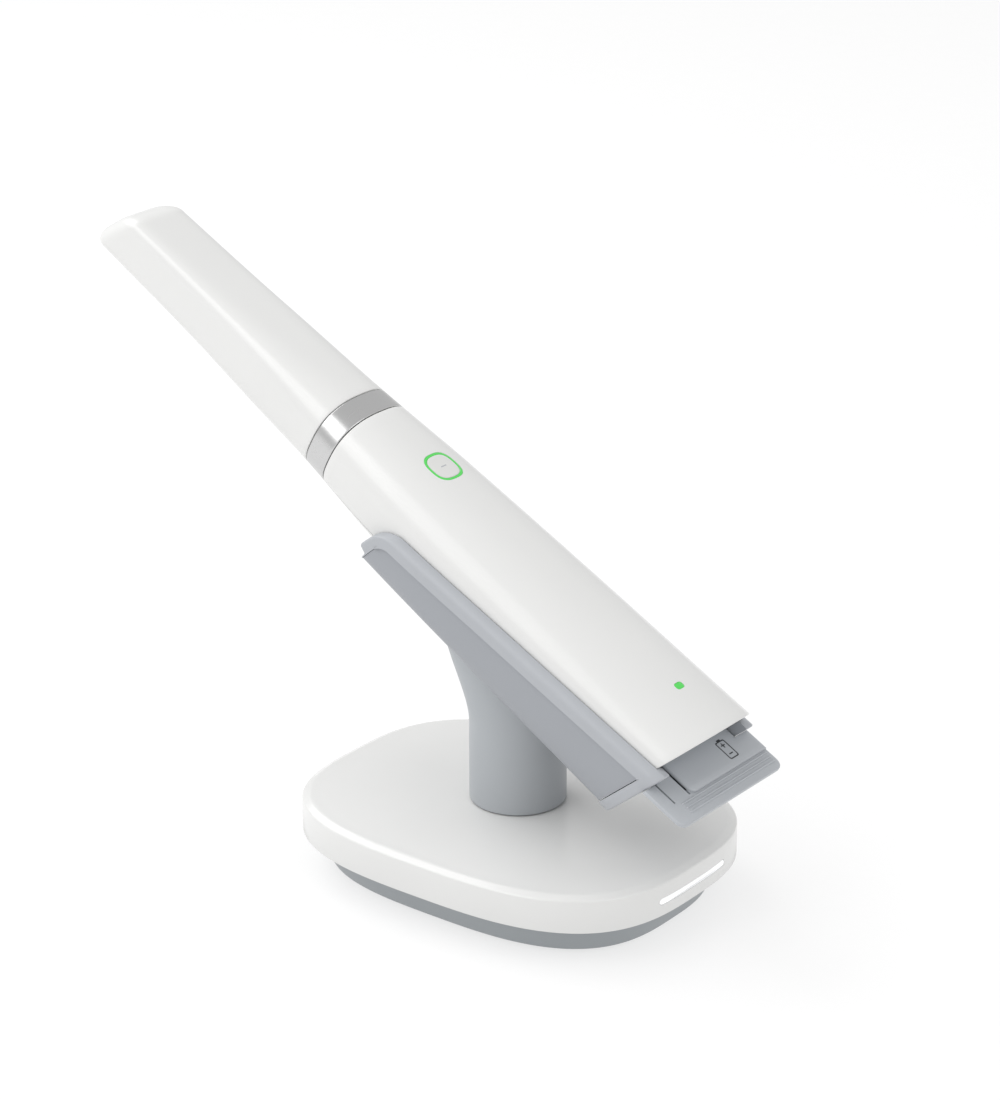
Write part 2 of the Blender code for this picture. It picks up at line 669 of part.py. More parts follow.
def build_battery(frame, dark, cell, brass):
    centre = (PACK_BOTTOM + PACK_TOP) / 2
    half_height = (PACK_TOP - PACK_BOTTOM) / 2
    pack_rear = TAIL_END - PLUG_SETBACK - PLUG_LENGTH + CUT_SLOPE * PACK_BOTTOM - GAP

    def pack_ring(x, inset):
        outline = rounded_rect(PACK_HALF_WIDTH - inset, half_height - inset, PACK_CORNER - inset)
        return [(x, y, centre + z) for y, z in outline]

    rings = [pack_ring(PACK_FRONT, PACK_EDGE), pack_ring(PACK_FRONT + PACK_EDGE, 0.0), pack_ring(pack_rear, 0.0),
             pack_ring(pack_rear, PACK_WALL), pack_ring(PACK_FRONT + PACK_WALL, PACK_WALL)]
    loft("battery_case", rings, dark, frame, origin=(PACK_FRONT, 0.0, centre))

    cell_front = PACK_FRONT + PACK_WALL + GAP
    side = PACK_HALF_WIDTH - PACK_WALL - GAP - CELL_RADIUS
    for name, y in (("battery_cell_left", -side), ("battery_cell_right", side)):
        rod_x(name, CELL_RADIUS, cell_front, cell_front + CELL_LENGTH, y, centre, cell, frame)

    terminal_rear = PACK_FRONT - GAP
    terminal_front = terminal_rear - TERMINAL_THICKNESS
    for number, y in enumerate((-TERMINAL_SIDE, TERMINAL_SIDE), 1):
        block(f"battery_terminal_{number}", (terminal_front, y - TERMINAL_HALF, centre - TERMINAL_HALF),
              (terminal_rear, y + TERMINAL_HALF, centre + TERMINAL_HALF), brass, frame)
    socket_rear = terminal_front - GAP
    reach = TERMINAL_HALF + SOCKET_MARGIN
    block("battery_socket", (socket_rear - SOCKET_LENGTH, -TERMINAL_SIDE - reach, centre - reach),
          (socket_rear, TERMINAL_SIDE + reach, centre + reach), dark, frame)


def grip_half_width():
    return SECTIONS[-1].half_width + SLIDE_GAP + RIM_WIDTH + GRIP_OVERHANG


def grip_outline(level, inset):
    """Plate's outline: its middle reaches up to the handle's tail, its sides stay behind the cradle's flange."""
    tail = TAIL_END + SLIDE_GAP + CUT_SLOPE * level
    shelf = SECTIONS[-1].half_width - SHELF_INSET
    side = grip_half_width() - inset
    half = [(tail, shelf), (tail + FLANGE_LENGTH, shelf), (tail + FLANGE_LENGTH, side)]
    half += [(GRIP_END - inset - GRIP_CORNER * (1.0 - math.sin(turn)), side - GRIP_CORNER * (1.0 - math.cos(turn)))
             for turn in steps(0.0, math.pi / 2, 4)]
    return half + [(x, -y) for x, y in reversed(half)]


def plateau_ring(level, grow):
    """Outline of the raised field on the plate, rounded at its near rear corner."""
    front = TAIL_END + SLIDE_GAP + CUT_SLOPE * level
    near, far = -PLATEAU_NEAR - grow, SECTIONS[-1].half_width - SHELF_INSET - PLATEAU_DRAFT + grow
    rear = PLATEAU_END + grow
    corner = [(rear - PLATEAU_CORNER * (1.0 - math.cos(turn)), near + PLATEAU_CORNER * (1.0 - math.sin(turn)))
              for turn in steps(0.0, math.pi / 2, 4)]
    return ring_at([(front, near), (front, far), (rear, far)] + corner, level)


def build_grip(frame, grey):
    """Plug that closes the handle's tail, with the neck and the ribbed plate that the pack is pulled by."""
    plug_rear = TAIL_END - PLUG_SETBACK
    plug = [form_ring(x, SHELL_WALL + SLIDE_GAP, CUT_SLOPE) for x in (plug_rear - PLUG_LENGTH, plug_rear)]
    grip = loft("battery_grip", plug, grey, frame, origin=(plug_rear, 0.0, 0.0))

    neck_top = PLATEAU_TOP - NECK_TUCK
    neck_low, neck_high = [(plug_rear - NECK_SINK + CUT_SLOPE * z, z) for z in (NECK_BOTTOM, neck_top)]
    profile = [neck_low, (plug_rear + NECK_REACH, NECK_BOTTOM), (plug_rear + NECK_REACH, neck_top), neck_high]
    sides = (-PLATEAU_NEAR + NECK_TUCK, NECK_HALF_WIDTH)
    neck = loft("grip_neck", [[(x, y, z) for x, z in profile] for y in sides], grey, frame)

    bottom = GRIP_TOP - GRIP_THICKNESS
    levels = ((bottom, GRIP_UNDERCUT), (GRIP_TOP - GRIP_EDGE, 0.0), (GRIP_TOP, 0.0))
    plate = loft("grip_plate", [ring_at(grip_outline(level, inset), level) for level, inset in levels], grey, frame)
    plateau = loft("grip_plateau", [plateau_ring(GRIP_TOP - GRIP_EDGE, PLATEAU_DRAFT), plateau_ring(PLATEAU_TOP, 0.0)],
                   grey, frame)

    ribs = []
    for number, x in enumerate(GRIP_RIBS, 1):
        foot, top = GRIP_RIB_WIDTH / 2, GRIP_RIB_WIDTH / 2 * GRIP_RIB_TOP_SHARE
        rings = [[(x - foot, y, GRIP_TOP - GRIP_RIB_HEIGHT), (x + foot, y, GRIP_TOP - GRIP_RIB_HEIGHT),
                  (x + top, y, GRIP_TOP + GRIP_RIB_HEIGHT), (x - top, y, GRIP_TOP + GRIP_RIB_HEIGHT)]
                 for y in (-grip_half_width() + GRIP_RIB_NEAR_MARGIN, grip_half_width() - GRIP_RIB_MARGIN)]
        ribs.append(loft(f"grip_rib_{number}", rings, grey, frame))
    join(grip, neck, plate, plateau, *ribs)

    for number in (1, 2):
        y = -PLATEAU_NEAR - PLATEAU_DRAFT - SLIT_WIDTH - SLIT_SPACING * (number - 1)
        low = (TAIL_END, y, GRIP_TOP - SLIT_DEPTH)
        high = (SLIT_END, y + SLIT_WIDTH, GRIP_TOP + GRIP_EDGE)
        cut(grip, block(f"release_slit_{number}", low, high, grey, frame))


# Cradle

def rim_level(along):
    drop = RIM_FRONT_DROP * (1.0 - min((along - CRADLE_FRONT) / RIM_FRONT_RUN, 1.0)) ** 2
    return section_at(along).widest - drop


def belly_level(along):
    share = (along - CRADLE_FRONT) / (TAIL_END - CRADLE_FRONT)
    return BELLY_FRONT + (BELLY_TAIL - BELLY_FRONT) * share


def housing_point(along, angle, inset):
    """Point of the cradle housing's skin, in the leaning plane through `along`."""
    x = along
    for _ in range(5):
        s = section_at(x)
        half_width = s.half_width + SLIDE_GAP + RIM_WIDTH - HOUSING_STEP - inset
        depth = s.widest - belly_level(x) - inset
        y, z = power_point(half_width, depth, HOUSING_POWER, angle)
        z += s.widest
        x = along + CUT_SLOPE * z
    return x, y, z


def housing_angle(along, level, inset):
    low, high = -math.pi / 2, 0.0
    for _ in range(40):
        mid = (low + high) / 2
        if housing_point(along, mid, inset)[2] < level:
            low = mid
        else:
            high = mid
    return (low + high) / 2


def housing_arc(along, level, inset, count):
    start = housing_angle(along, level, inset)
    return [housing_point(along, start + (-math.pi - 2 * start) * k / (count - 1), inset) for k in range(count)]


def mirrored(points):
    return [(x, -y, z) for x, y, z in reversed(points)]


def tray_profile(along, flange, drawn_in=0.0):
    """Closed outline of the tray: seat for the handpiece, rolled rims, and the liner or flange outside."""
    level = rim_level(along) - drawn_in
    start = angle_at_level(along, level - RIM_ROUND / 2, -SLIDE_GAP, CUT_SLOPE)
    seat = arc_points(along, start, -math.pi - start, SEAT_POINTS, -SLIDE_GAP, CUT_SLOPE)
    x, y, z = seat[0]
    half = (RIM_WIDTH - drawn_in) / 2
    roll = [(x + CUT_SLOPE * RIM_ROUND * math.sin(t), y + half + half * math.cos(t), z + RIM_ROUND * math.sin(t))
            for t in steps(math.pi, 0.0, 5)[1:]]
    under = z - RIM_HEIGHT
    if flange:
        arc = housing_arc(along, under, drawn_in - HOUSING_STEP, SEAT_POINTS)
    else:
        inset = -SLIDE_GAP - LINER_WALL
        angle = angle_at_level(along, under, inset, CUT_SLOPE)
        arc = arc_points(along, angle, -math.pi - angle, SEAT_POINTS, inset, CUT_SLOPE)
    fall = RIM_HEIGHT / 2 if flange else RIM_HEIGHT
    side = roll + [(x - CUT_SLOPE * fall, y + 2 * half, z - fall)]
    return side + arc + mirrored(side) + list(reversed(seat))


def build_cradle(frame, rim_grey, panel_grey):
    front, rear = CRADLE_FRONT, TAIL_END + FLANGE_LENGTH
    inner_front, inner_rear = front + FLANGE_LENGTH, TAIL_END
    rings = [tray_profile(front + FLANGE_ROUND * (1.0 - math.cos(turn)), True, FLANGE_ROUND * (1.0 - math.sin(turn)))
             for turn in steps(math.pi / 6, math.pi / 2, 4)]
    rings.append(tray_profile(inner_front, True))
    rings += [tray_profile(x, False)
              for x in steps(inner_front + FLANGE_DRAFT, inner_rear - FLANGE_DRAFT, SEAT_STATIONS)]
    rings += [tray_profile(x, True) for x in (inner_rear, rear)]
    tray = loft("cradle_tray", rings, rim_grey, frame, origin=(front, 0.0, 0.0))

    rings = []
    for x in steps(inner_front + GAP, inner_rear - GAP, SEAT_STATIONS):
        top = rim_level(x) - RIM_ROUND / 2 - RIM_HEIGHT - GAP
        rings.append(housing_arc(x, top, 0.0, SEAT_POINTS)
                     + list(reversed(housing_arc(x, top, HOUSING_WALL, SEAT_POINTS))))
    loft("cradle_housing", rings, panel_grey, frame, origin=(front, 0.0, 0.0))
    return tray


def build_contacts(frame, tray, belly, dark, brass):
    skin_low = skin_height(CONTACT_ALONG, 0.0, upper=False)
    block_high = skin_low - SLIDE_GAP - CONTACT_BLOCK_DROP
    block_low = block_high - CONTACT_BLOCK_HEIGHT
    half_width = (CONTACT_COUNT - 1) / 2 * CONTACT_PITCH + CONTACT_RADIUS + CONTACT_BLOCK_MARGIN

    def block_outline(grow):
        return rounded_rect(CONTACT_BLOCK_HALF_LENGTH + grow, half_width + grow, CONTACT_BLOCK_CORNER + grow, 3)

    floor_hole = prism("tray_contact_hole", block_outline(GAP), skin_low - SLIDE_GAP - LINER_WALL - CUTTER_REACH,
                       skin_low + CUTTER_REACH, dark, frame, (CONTACT_ALONG, 0.0))
    cut(tray, floor_hole)
    carrier = prism("contact_block", block_outline(0.0), block_low, block_high, dark, frame, (CONTACT_ALONG, 0.0))
    for k in range(CONTACT_COUNT):
        y = (k - (CONTACT_COUNT - 1) / 2) * CONTACT_PITCH
        pad_low = skin_height(CONTACT_ALONG, abs(y) + CONTACT_RADIUS, upper=False)
        bore = prism(f"belly_contact_bore_{k + 1}", circle(CONTACT_RADIUS + GAP, 12), skin_low - CUTTER_REACH,
                     skin_low + SHELL_WALL + CUTTER_REACH, brass, frame, (CONTACT_ALONG, y))
        cut(belly, bore)
        prism(f"charge_pad_{k + 1}", circle(CONTACT_RADIUS, 12), pad_low, skin_low + SHELL_WALL, brass, frame,
              (CONTACT_ALONG, y))
        pin_bore = prism(f"block_bore_{k + 1}", circle(CONTACT_PIN_RADIUS + GAP, 12), block_low - CUTTER_REACH,
                         block_high + CUTTER_REACH, dark, frame, (CONTACT_ALONG, y))
        cut(carrier, pin_bore)
        prism(f"dock_contact_{k + 1}", circle(CONTACT_PIN_RADIUS, 12), block_low - CONTACT_PIN_TAIL, pad_low - GAP,
              brass, frame, (CONTACT_ALONG, y))


# Stem and base

def stem_ring(share, inset, placing):
    """Ring between the round foot on the base and the oval head under the cradle."""
    ease = smooth((share - STEM_FLARE_START) / (1.0 - STEM_FLARE_START))
    points = []
    for k in range(STEM_POINTS):
        c, s = math.cos(2 * math.pi * k / STEM_POINTS), math.sin(2 * math.pi * k / STEM_POINTS)
        foot = Vector(((STEM_FOOT_RADIUS - inset) * c, (STEM_FOOT_RADIUS - inset) * s, BASE_TOP + GAP))
        x = STEM_HEAD_CENTRE + (STEM_HEAD_HALF_LENGTH - inset) * c
        head = placing @ Vector((x, (STEM_HEAD_HALF_WIDTH - inset) * s, belly_level(x) - GAP))
        level = foot.z + (head.z - foot.z) * share
        column = Vector((foot.x, foot.y, level))
        points.append(column.lerp(Vector((head.x, head.y, level)), ease))
    return points


def stem_screw_place(number):
    angle = 2 * math.pi * number / STEM_SCREW_COUNT
    reach = STEM_FOOT_RADIUS - STEM_FOOT_WALL / 2
    return reach * math.cos(angle), reach * math.sin(angle)


def build_stem(placing, cover, grey, metal):
    foot_shares = (STEM_FOOT_SHARE, 0.0)
    outer = [stem_ring(share, 0.0, placing) for share in [0.0] + steps(STEM_FLARE_START, 1.0, 5)]
    inner = [stem_ring(share, STEM_WALL, placing) for share in steps(1.0, STEM_FOOT_SHARE + STEM_FOOT_STEP, 3)]
    inner += [stem_ring(share, STEM_FOOT_WALL, placing) for share in foot_shares]
    stem = loft("stem", outer + inner, grey, closed=True, origin=(0.0, 0.0, BASE_TOP))

    inside_top = BASE_TOP - COVER_WALL
    for k in range(STEM_SCREW_COUNT):
        x, y = stem_screw_place(k)
        bore = prism(f"stem_bore_{k + 1}", circle(SCREW_RADIUS + SCREW_CLEARANCE, 10), inside_top - CUTTER_REACH,
                     BASE_TOP + STEM_SCREW_LENGTH, grey, centre=(x, y))
        cut(stem, bore)
        cut(cover, bore)
        screw(f"stem_screw_{k + 1}", inside_top - GAP - SCREW_HEAD_HEIGHT, metal, None, x, y, STEM_SCREW_LENGTH)
    wire_way = prism("wire_way", circle(WIRE_WAY_RADIUS, 16), inside_top - CUTTER_REACH, BASE_TOP + CUTTER_REACH, grey)
    cut(cover, wire_way)


def pan_inset(level):
    share = (level - PAN_BOTTOM) / (COVER_BOTTOM - GAP - PAN_BOTTOM)
    return PAN_RIM_INSET + (PAN_FOOT_INSET - PAN_RIM_INSET) * (1.0 - share) ** PAN_BULGE


def build_pan(pan_grey, rubber):
    pan_top = COVER_BOTTOM - GAP
    recess = PAN_BOTTOM + SOLE_RECESS
    floor = recess + PAN_WALL
    profile = [(PAN_FLOOR_INSET, recess), (SOLE_INSET - GAP, recess), (SOLE_INSET - GAP, PAN_BOTTOM),
               (PAN_FOOT_INSET + PAN_FOOT_BEVEL, PAN_BOTTOM)]
    profile += [(pan_inset(z), z) for z in steps(PAN_BOTTOM + PAN_FOOT_EDGE, pan_top, 4)]
    profile += [(pan_inset(z) + PAN_WALL, z) for z in steps(pan_top, floor, 4)]
    profile.append((PAN_FLOOR_INSET, floor))
    pan = loft("base_pan", [ring_at(base_outline(inset), z) for inset, z in profile], pan_grey,
               origin=(0.0, 0.0, PAN_BOTTOM))

    sole = [(SOLE_INSET + SOLE_EDGE, 0.0), (SOLE_INSET, SOLE_EDGE), (SOLE_INSET, recess - GAP)]
    loft("rubber_sole", [ring_at(base_outline(inset), z) for inset, z in sole], rubber)
    return pan


def build_cover(white):
    turns = steps(0.0, math.pi / 2, 4)
    edge = [(COVER_EDGE_RADIUS * (1 - math.cos(t)), BASE_EDGE_HEIGHT - COVER_EDGE_RADIUS * (1 - math.sin(t)))
            for t in turns]
    flat = BASE_HALF_WIDTH - STEM_FOOT_RADIUS - CROWN_FLAT_MARGIN
    crown = [(inset, BASE_EDGE_HEIGHT + BASE_CROWN * math.sin(math.pi / 2 * inset / flat))
             for inset in steps(flat, COVER_EDGE_RADIUS, 4)]
    inside = [(COVER_WALL, COVER_BOTTOM), (COVER_WALL, BASE_EDGE_HEIGHT - COVER_WALL - COVER_INNER_EDGE),
              (COVER_WALL + COVER_INNER_EDGE, BASE_EDGE_HEIGHT - COVER_WALL), (flat, BASE_TOP - COVER_WALL)]
    profile = crown[:-1] + list(reversed(edge)) + [(0.0, COVER_BOTTOM)] + inside
    return loft("base_cover", [ring_at(base_outline(inset), z) for inset, z in profile], white,
                origin=(0.0, 0.0, COVER_BOTTOM))


def build_base_inside(cover, pan, white, steel, board_green, metal):
    """Ballast, charging board and the screws that hold cover and pan together. Returns the board's top."""
    recess = PAN_BOTTOM + SOLE_RECESS
    ballast_low = recess + PAN_WALL + GAP
    ballast_high = ballast_low + BALLAST_THICKNESS
    ballast = loft("ballast_plate", [ring_at(base_outline(BALLAST_INSET), z) for z in (ballast_low, ballast_high)],
                   steel, origin=(0.0, 0.0, ballast_low))
    board_low = ballast_high + GAP
    board_high = board_low + CHARGE_BOARD_THICKNESS
    post_x, post_y = BASE_HALF_LENGTH - BASE_SCREW_END_INSET, BASE_HALF_WIDTH - BASE_SCREW_SIDE_INSET
    half_width = post_y - BASE_POST_RADIUS - CHARGE_BOARD_POST_GAP
    block("charge_board", (-BASE_HALF_LENGTH + CHARGE_BOARD_FRONT_INSET, -half_width, board_low),
          (BASE_HALF_LENGTH - CHARGE_BOARD_REAR_INSET, half_width, board_high), board_green)

    head_low = recess + SCREW_SUNK
    for number, (sx, sy) in enumerate(((1, 1), (-1, 1), (-1, -1), (1, -1)), 1):
        place = (sx * post_x, sy * post_y)
        post = prism(f"cover_post_{number}", circle(BASE_POST_RADIUS, 14), recess + PAN_WALL + GAP, BASE_EDGE_HEIGHT,
                     white, centre=place)
        join(cover, post)
        bore = prism(f"post_bore_{number}", circle(SCREW_RADIUS + SCREW_CLEARANCE, 10), recess - CUTTER_REACH,
                     recess + PAN_WALL + BASE_SCREW_LENGTH, white, centre=place)
        seat = prism(f"pan_seat_{number}", circle(SCREW_HEAD_RADIUS + SCREW_CLEARANCE, 12), recess - CUTTER_REACH,
                     head_low + SCREW_HEAD_HEIGHT + GAP, white, centre=place)
        way = prism(f"ballast_way_{number}", circle(BASE_POST_RADIUS + GAP, 14), ballast_low - CUTTER_REACH,
                    ballast_high + CUTTER_REACH, white, centre=place)
        cut(cover, bore)
        cut(pan, bore, seat)
        cut(ballast, way)
        screw(f"base_screw_{number}", head_low, metal, None, *place, BASE_SCREW_LENGTH)
    return board_high


def build_light_bar(cover, glow, board_green):
    low, high = LIGHT_BAR_LEVEL - LIGHT_BAR_HEIGHT / 2, LIGHT_BAR_LEVEL + LIGHT_BAR_HEIGHT / 2

    def edge_x(y, inset):
        share = abs(y) / (BASE_HALF_WIDTH - inset)
        return (BASE_HALF_LENGTH - inset) * (1 - share**BASE_POWER) ** (1 / BASE_POWER)

    def wall_strip(grow, near, far):
        ys = steps(-LIGHT_BAR_HALF - grow, LIGHT_BAR_HALF + grow, 9)
        outline = [(edge_x(y, near), y) for y in ys] + [(edge_x(y, far), y) for y in reversed(ys)]
        return [ring_at(outline, low - grow), ring_at(outline, high + grow)]

    cut(cover, loft("light_bar_slot", wall_strip(GAP, -CUTTER_REACH, COVER_WALL + CUTTER_REACH), glow))
    loft("light_bar", wall_strip(0.0, 0.0, LIGHT_BAR_DEPTH), glow, origin=(BASE_HALF_LENGTH, 0.0, LIGHT_BAR_LEVEL))
    board_rear = BASE_HALF_LENGTH - LIGHT_BAR_DEPTH - LIGHT_BOARD_SETBACK
    half_height = LIGHT_BOARD_HEIGHT / 2
    block("light_board", (board_rear - LIGHT_BOARD_THICKNESS, -LIGHT_BAR_HALF, LIGHT_BAR_LEVEL - half_height),
          (board_rear, LIGHT_BAR_HALF, LIGHT_BAR_LEVEL + half_height), board_green)


def build_inlet(cover, board_top, metal, dark):
    face = -BASE_HALF_LENGTH + INLET_RECESS
    rear = face + INLET_LENGTH
    level = board_top + GAP + INLET_HALF_HEIGHT

    def inlet_ring(x, shrink):
        half_height = INLET_HALF_HEIGHT - shrink
        return [(x, y, level + z)
                for y, z in rounded_rect(INLET_HALF_WIDTH - shrink, half_height, half_height - INLET_FLAT)]

    cut(cover, loft("inlet_hole", [inlet_ring(face - CUTTER_REACH, -GAP), inlet_ring(rear, -GAP)], metal))
    rings = [inlet_ring(rear - INLET_BACK_WALL, INLET_WALL), inlet_ring(face, INLET_WALL), inlet_ring(face, 0.0),
             inlet_ring(rear, 0.0)]
    loft("power_inlet", rings, metal, origin=(face, 0.0, level))
    block("inlet_tongue", (face + TONGUE_SETBACK, -TONGUE_HALF_WIDTH, level - TONGUE_HALF_HEIGHT),
          (rear - INLET_BACK_WALL - GAP, TONGUE_HALF_WIDTH, level + TONGUE_HALF_HEIGHT), dark)


def main():
    clear_scene()
    white = material("white_plastic", (0.83, 0.83, 0.82), 0.38)
    button_white = material("button_plastic", (0.80, 0.80, 0.79), 0.42)
    silver = material("silver_trim", (0.62, 0.62, 0.62), 0.22, 1.0)
    rim_grey = material("cradle_rim_plastic", (0.42, 0.45, 0.49), 0.45)
    panel_grey = material("cradle_panel_plastic", (0.34, 0.37, 0.41), 0.5)
    stem_grey = material("stem_plastic", (0.36, 0.39, 0.42), 0.5)
    pan_grey = material("pan_plastic", (0.21, 0.24, 0.25), 0.55)
    grip_grey = material("grip_plastic", (0.40, 0.43, 0.46), 0.5)
    dark = material("dark_plastic", (0.04, 0.04, 0.045), 0.5)
    rubber = material("rubber", (0.05, 0.05, 0.05), 0.8)
    mirror = material("mirror_glass", (0.9, 0.9, 0.9), 0.03, 1.0)
    glass = material("window_glass", (0.85, 0.9, 0.92), 0.05, 0.0, 0.35)
    green = material("green_light", (0.10, 0.75, 0.16), 0.3, glow=2.0)
    light = material("white_light", (1.0, 1.0, 1.0), 0.3, glow=2.0)
    metal = material("cast_aluminium", (0.55, 0.56, 0.57), 0.4, 1.0)
    steel = material("steel", (0.5, 0.5, 0.52), 0.35, 1.0)
    brass = material("gold_plating", (0.83, 0.62, 0.26), 0.25, 1.0)
    board = material("circuit_board", (0.02, 0.16, 0.07), 0.45)
    cell = material("cell_sleeve", (0.10, 0.22, 0.42), 0.4)
    lens = material("lens_barrel", (0.03, 0.03, 0.035), 0.25)

    frame = bpy.data.objects.new("handpiece_frame", None)
    frame.location = (0.0, 0.0, AXIS_HEIGHT)
    frame.rotation_euler = (0.0, LEAN, 0.0)
    bpy.context.scene.collection.objects.link(frame)
    placing = Matrix.Translation(frame.location) @ Matrix.Rotation(LEAN, 4, "Y")

    build_tip(frame, white, mirror)
    build_nose(frame, dark, silver, rubber, glass)
    housing, belly = build_housing(frame, white)
    build_controls(frame, housing, button_white, green, dark)
    build_inside(frame, belly, metal, board, dark, steel, brass, lens)
    build_battery(frame, dark, cell, brass)
    build_grip(frame, grip_grey)
    tray = build_cradle(frame, rim_grey, panel_grey)
    build_contacts(frame, tray, belly, dark, brass)
    pan = build_pan(pan_grey, rubber)
    cover = build_cover(white)
    build_stem(placing, cover, stem_grey, metal)
    board_top = build_base_inside(cover, pan, white, steel, board, metal)
    build_light_bar(cover, light, board)
    build_inlet(cover, board_top, metal, dark)


main()
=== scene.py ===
import math
from collections import namedtuple

import bmesh
import bpy
from mathutils import Matrix, Vector


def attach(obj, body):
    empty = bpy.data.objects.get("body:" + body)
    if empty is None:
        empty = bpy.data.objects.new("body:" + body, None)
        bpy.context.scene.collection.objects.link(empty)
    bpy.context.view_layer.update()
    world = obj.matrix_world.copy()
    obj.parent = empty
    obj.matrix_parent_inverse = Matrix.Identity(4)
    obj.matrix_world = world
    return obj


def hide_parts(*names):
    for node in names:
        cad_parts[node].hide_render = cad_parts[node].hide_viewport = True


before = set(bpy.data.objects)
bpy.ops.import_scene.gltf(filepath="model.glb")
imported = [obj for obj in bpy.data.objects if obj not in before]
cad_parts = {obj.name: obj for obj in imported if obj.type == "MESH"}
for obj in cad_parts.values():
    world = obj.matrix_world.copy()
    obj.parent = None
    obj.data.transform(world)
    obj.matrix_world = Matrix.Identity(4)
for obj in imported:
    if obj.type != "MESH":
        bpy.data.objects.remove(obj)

MM = 0.001
STAND, TIP, PACK, BUTTON = "stand_and_handpiece", "tip", "battery_pack", "button"

# Handpiece placing in the stand
GAP = 0.3 * MM
SLIDE_GAP = 0.4 * MM
LEAN = math.radians(28.5)
AXIS_HEIGHT = 105.8 * MM
PLACING = Matrix.Translation((0.0, 0.0, AXIS_HEIGHT)) @ Matrix.Rotation(LEAN, 4, "Y")

# Handpiece form: one section at each of these places along it
Section = namedtuple("Section", "along half_width top bottom widest top_power bottom_power")
TIP_FRONT = -183.95 * MM
RING_FRONT = -77.5 * MM
RING_LENGTH = 8.6 * MM
TAIL_END = 81.7 * MM
SECTIONS = (
    Section(TIP_FRONT, 12.0 * MM, 8.8 * MM, -9.4 * MM, -0.4 * MM, 6.5, 6.5),
    Section(-135.0 * MM, 13.4 * MM, 8.8 * MM, -12.2 * MM, -1.7 * MM, 4.8, 4.8),
    Section(-100.0 * MM, 15.6 * MM, 9.7 * MM, -15.8 * MM, -3.0 * MM, 3.2, 3.2),
    Section(RING_FRONT, 17.3 * MM, 10.4 * MM, -18.0 * MM, -3.8 * MM, 2.6, 2.6),
    Section(-40.0 * MM, 20.6 * MM, 11.0 * MM, -21.2 * MM, -4.6 * MM, 2.4, 2.7),
    Section(20.0 * MM, 22.3 * MM, 10.8 * MM, -21.6 * MM, -2.6 * MM, 2.25, 3.0),
    Section(TAIL_END, 23.0 * MM, 10.2 * MM, -21.6 * MM, -0.9 * MM, 2.1, 3.2),
)
SKIN_POINTS = 144
SKIN_STATIONS = 64
END_ROUND = 0.35 * MM
END_ROUND_RINGS = 5

# Rounds in which a leaning place settles, and halvings in which an angle is found
FORM_ROUNDS = 4
HOUSING_ROUNDS = 5
HALVINGS = 40

# Scan tip
TIP_WALL = 1.6 * MM
TIP_END_SLOPE = 0.6
TIP_SLOPE_FADE = 34.0 * MM
TIP_END_ROUND = 6.0 * MM
TIP_END_RINGS = 14
TIP_INNER_END_RINGS = 5
TIP_INNER_STEP = 3
WINDOW_LENGTH = 17.0 * MM
WINDOW_HALF_WIDTH = 8.4 * MM
WINDOW_CORNER = 2.5 * MM
WINDOW_SETBACK = 0.6 * MM
WINDOW_CUT_DEPTH = 6.0 * MM
MIRROR_THICKNESS = 1.1 * MM
MIRROR_SLOPE = 1.0

# Handle, button and lights
NOSE_INSET = 3.2 * MM
SHELL_WALL = 2.2 * MM
SPLIT_LEVEL = -14.0 * MM
TOP_SHELL_POINTS = 109
BELLY_SHELL_POINTS = 49
TRIM_RING_STATIONS = 10
CUT_SLOPE = 0.415
CUT_FADE = 60.0 * MM
BUTTON_ALONG = -40.2 * MM
BUTTON_SIDE = 0.6 * MM
RING_LIGHT_HALF = (5.9 * MM, 6.1 * MM)
RING_LIGHT_POWER = 2.8
RING_LIGHT_WIDTH = 0.8 * MM
RING_LIGHT_ROUND = 0.1 * MM
RING_LIGHT_POINTS = 72
CONTROL_SEAM = 0.1 * MM
BUTTON_INNER_SHARE = 0.05
BUTTON_FLAT_SHARE = 0.96
BUTTON_RINGS = 12
BUTTON_EDGE = ((0.99, 0.05 * MM), (1.0, 0.2 * MM))
BUTTON_MARK_HALF = (0.2 * MM, 1.3 * MM)
BUTTON_MARK_CORNER = 0.18 * MM
BUTTON_MARK_RAISED = 0.02 * MM
BUTTON_MARK_SUNK = 0.1 * MM
TRIM_DEPTH = 2.6 * MM
CONTROL_HOLE_DEPTH = 8.0 * MM
CONTROL_HOLE_RISE = 3.0 * MM
STATUS_ALONG = 65.8 * MM
STATUS_HALF = (1.2 * MM, 1.8 * MM)
STATUS_CORNER = 0.9 * MM
STATUS_EDGE = ((0.3, 0.0), (0.9, 0.0), (1.0, 0.12 * MM))

# Battery grip
PLUG_LENGTH = 7.0 * MM
PLUG_SETBACK = 0.6 * MM
NECK_HALF_WIDTH = 18.4 * MM
NECK_BOTTOM = -12.0 * MM
NECK_SINK = 2.0 * MM
NECK_REACH = 6.0 * MM
NECK_TUCK = 0.3 * MM
NECK_EDGE = 0.25 * MM
GRIP_OVERHANG = 1.2 * MM
GRIP_GAP = 0.2 * MM
GRIP_TOP = -7.1 * MM
GRIP_THICKNESS = 3.2 * MM
GRIP_EDGE = 1.2 * MM
GRIP_ROUND = 0.4 * MM
GRIP_ROUND_RINGS = 6
GRIP_UNDERCUT = 2.4 * MM
GRIP_END = 99.8 * MM
GRIP_CORNER = 3.0 * MM
GRIP_CORNER_POINTS = 9
SHELF_INSET = 2.5 * MM
PLATEAU_TOP = -6.0 * MM
PLATEAU_END = 92.1 * MM
PLATEAU_NEAR = 13.6 * MM
PLATEAU_CORNER = 2.4 * MM
PLATEAU_ROUND = 0.8 * MM
PLATEAU_ROUND_TURN = math.radians(81.0)
PLATEAU_RINGS = 7
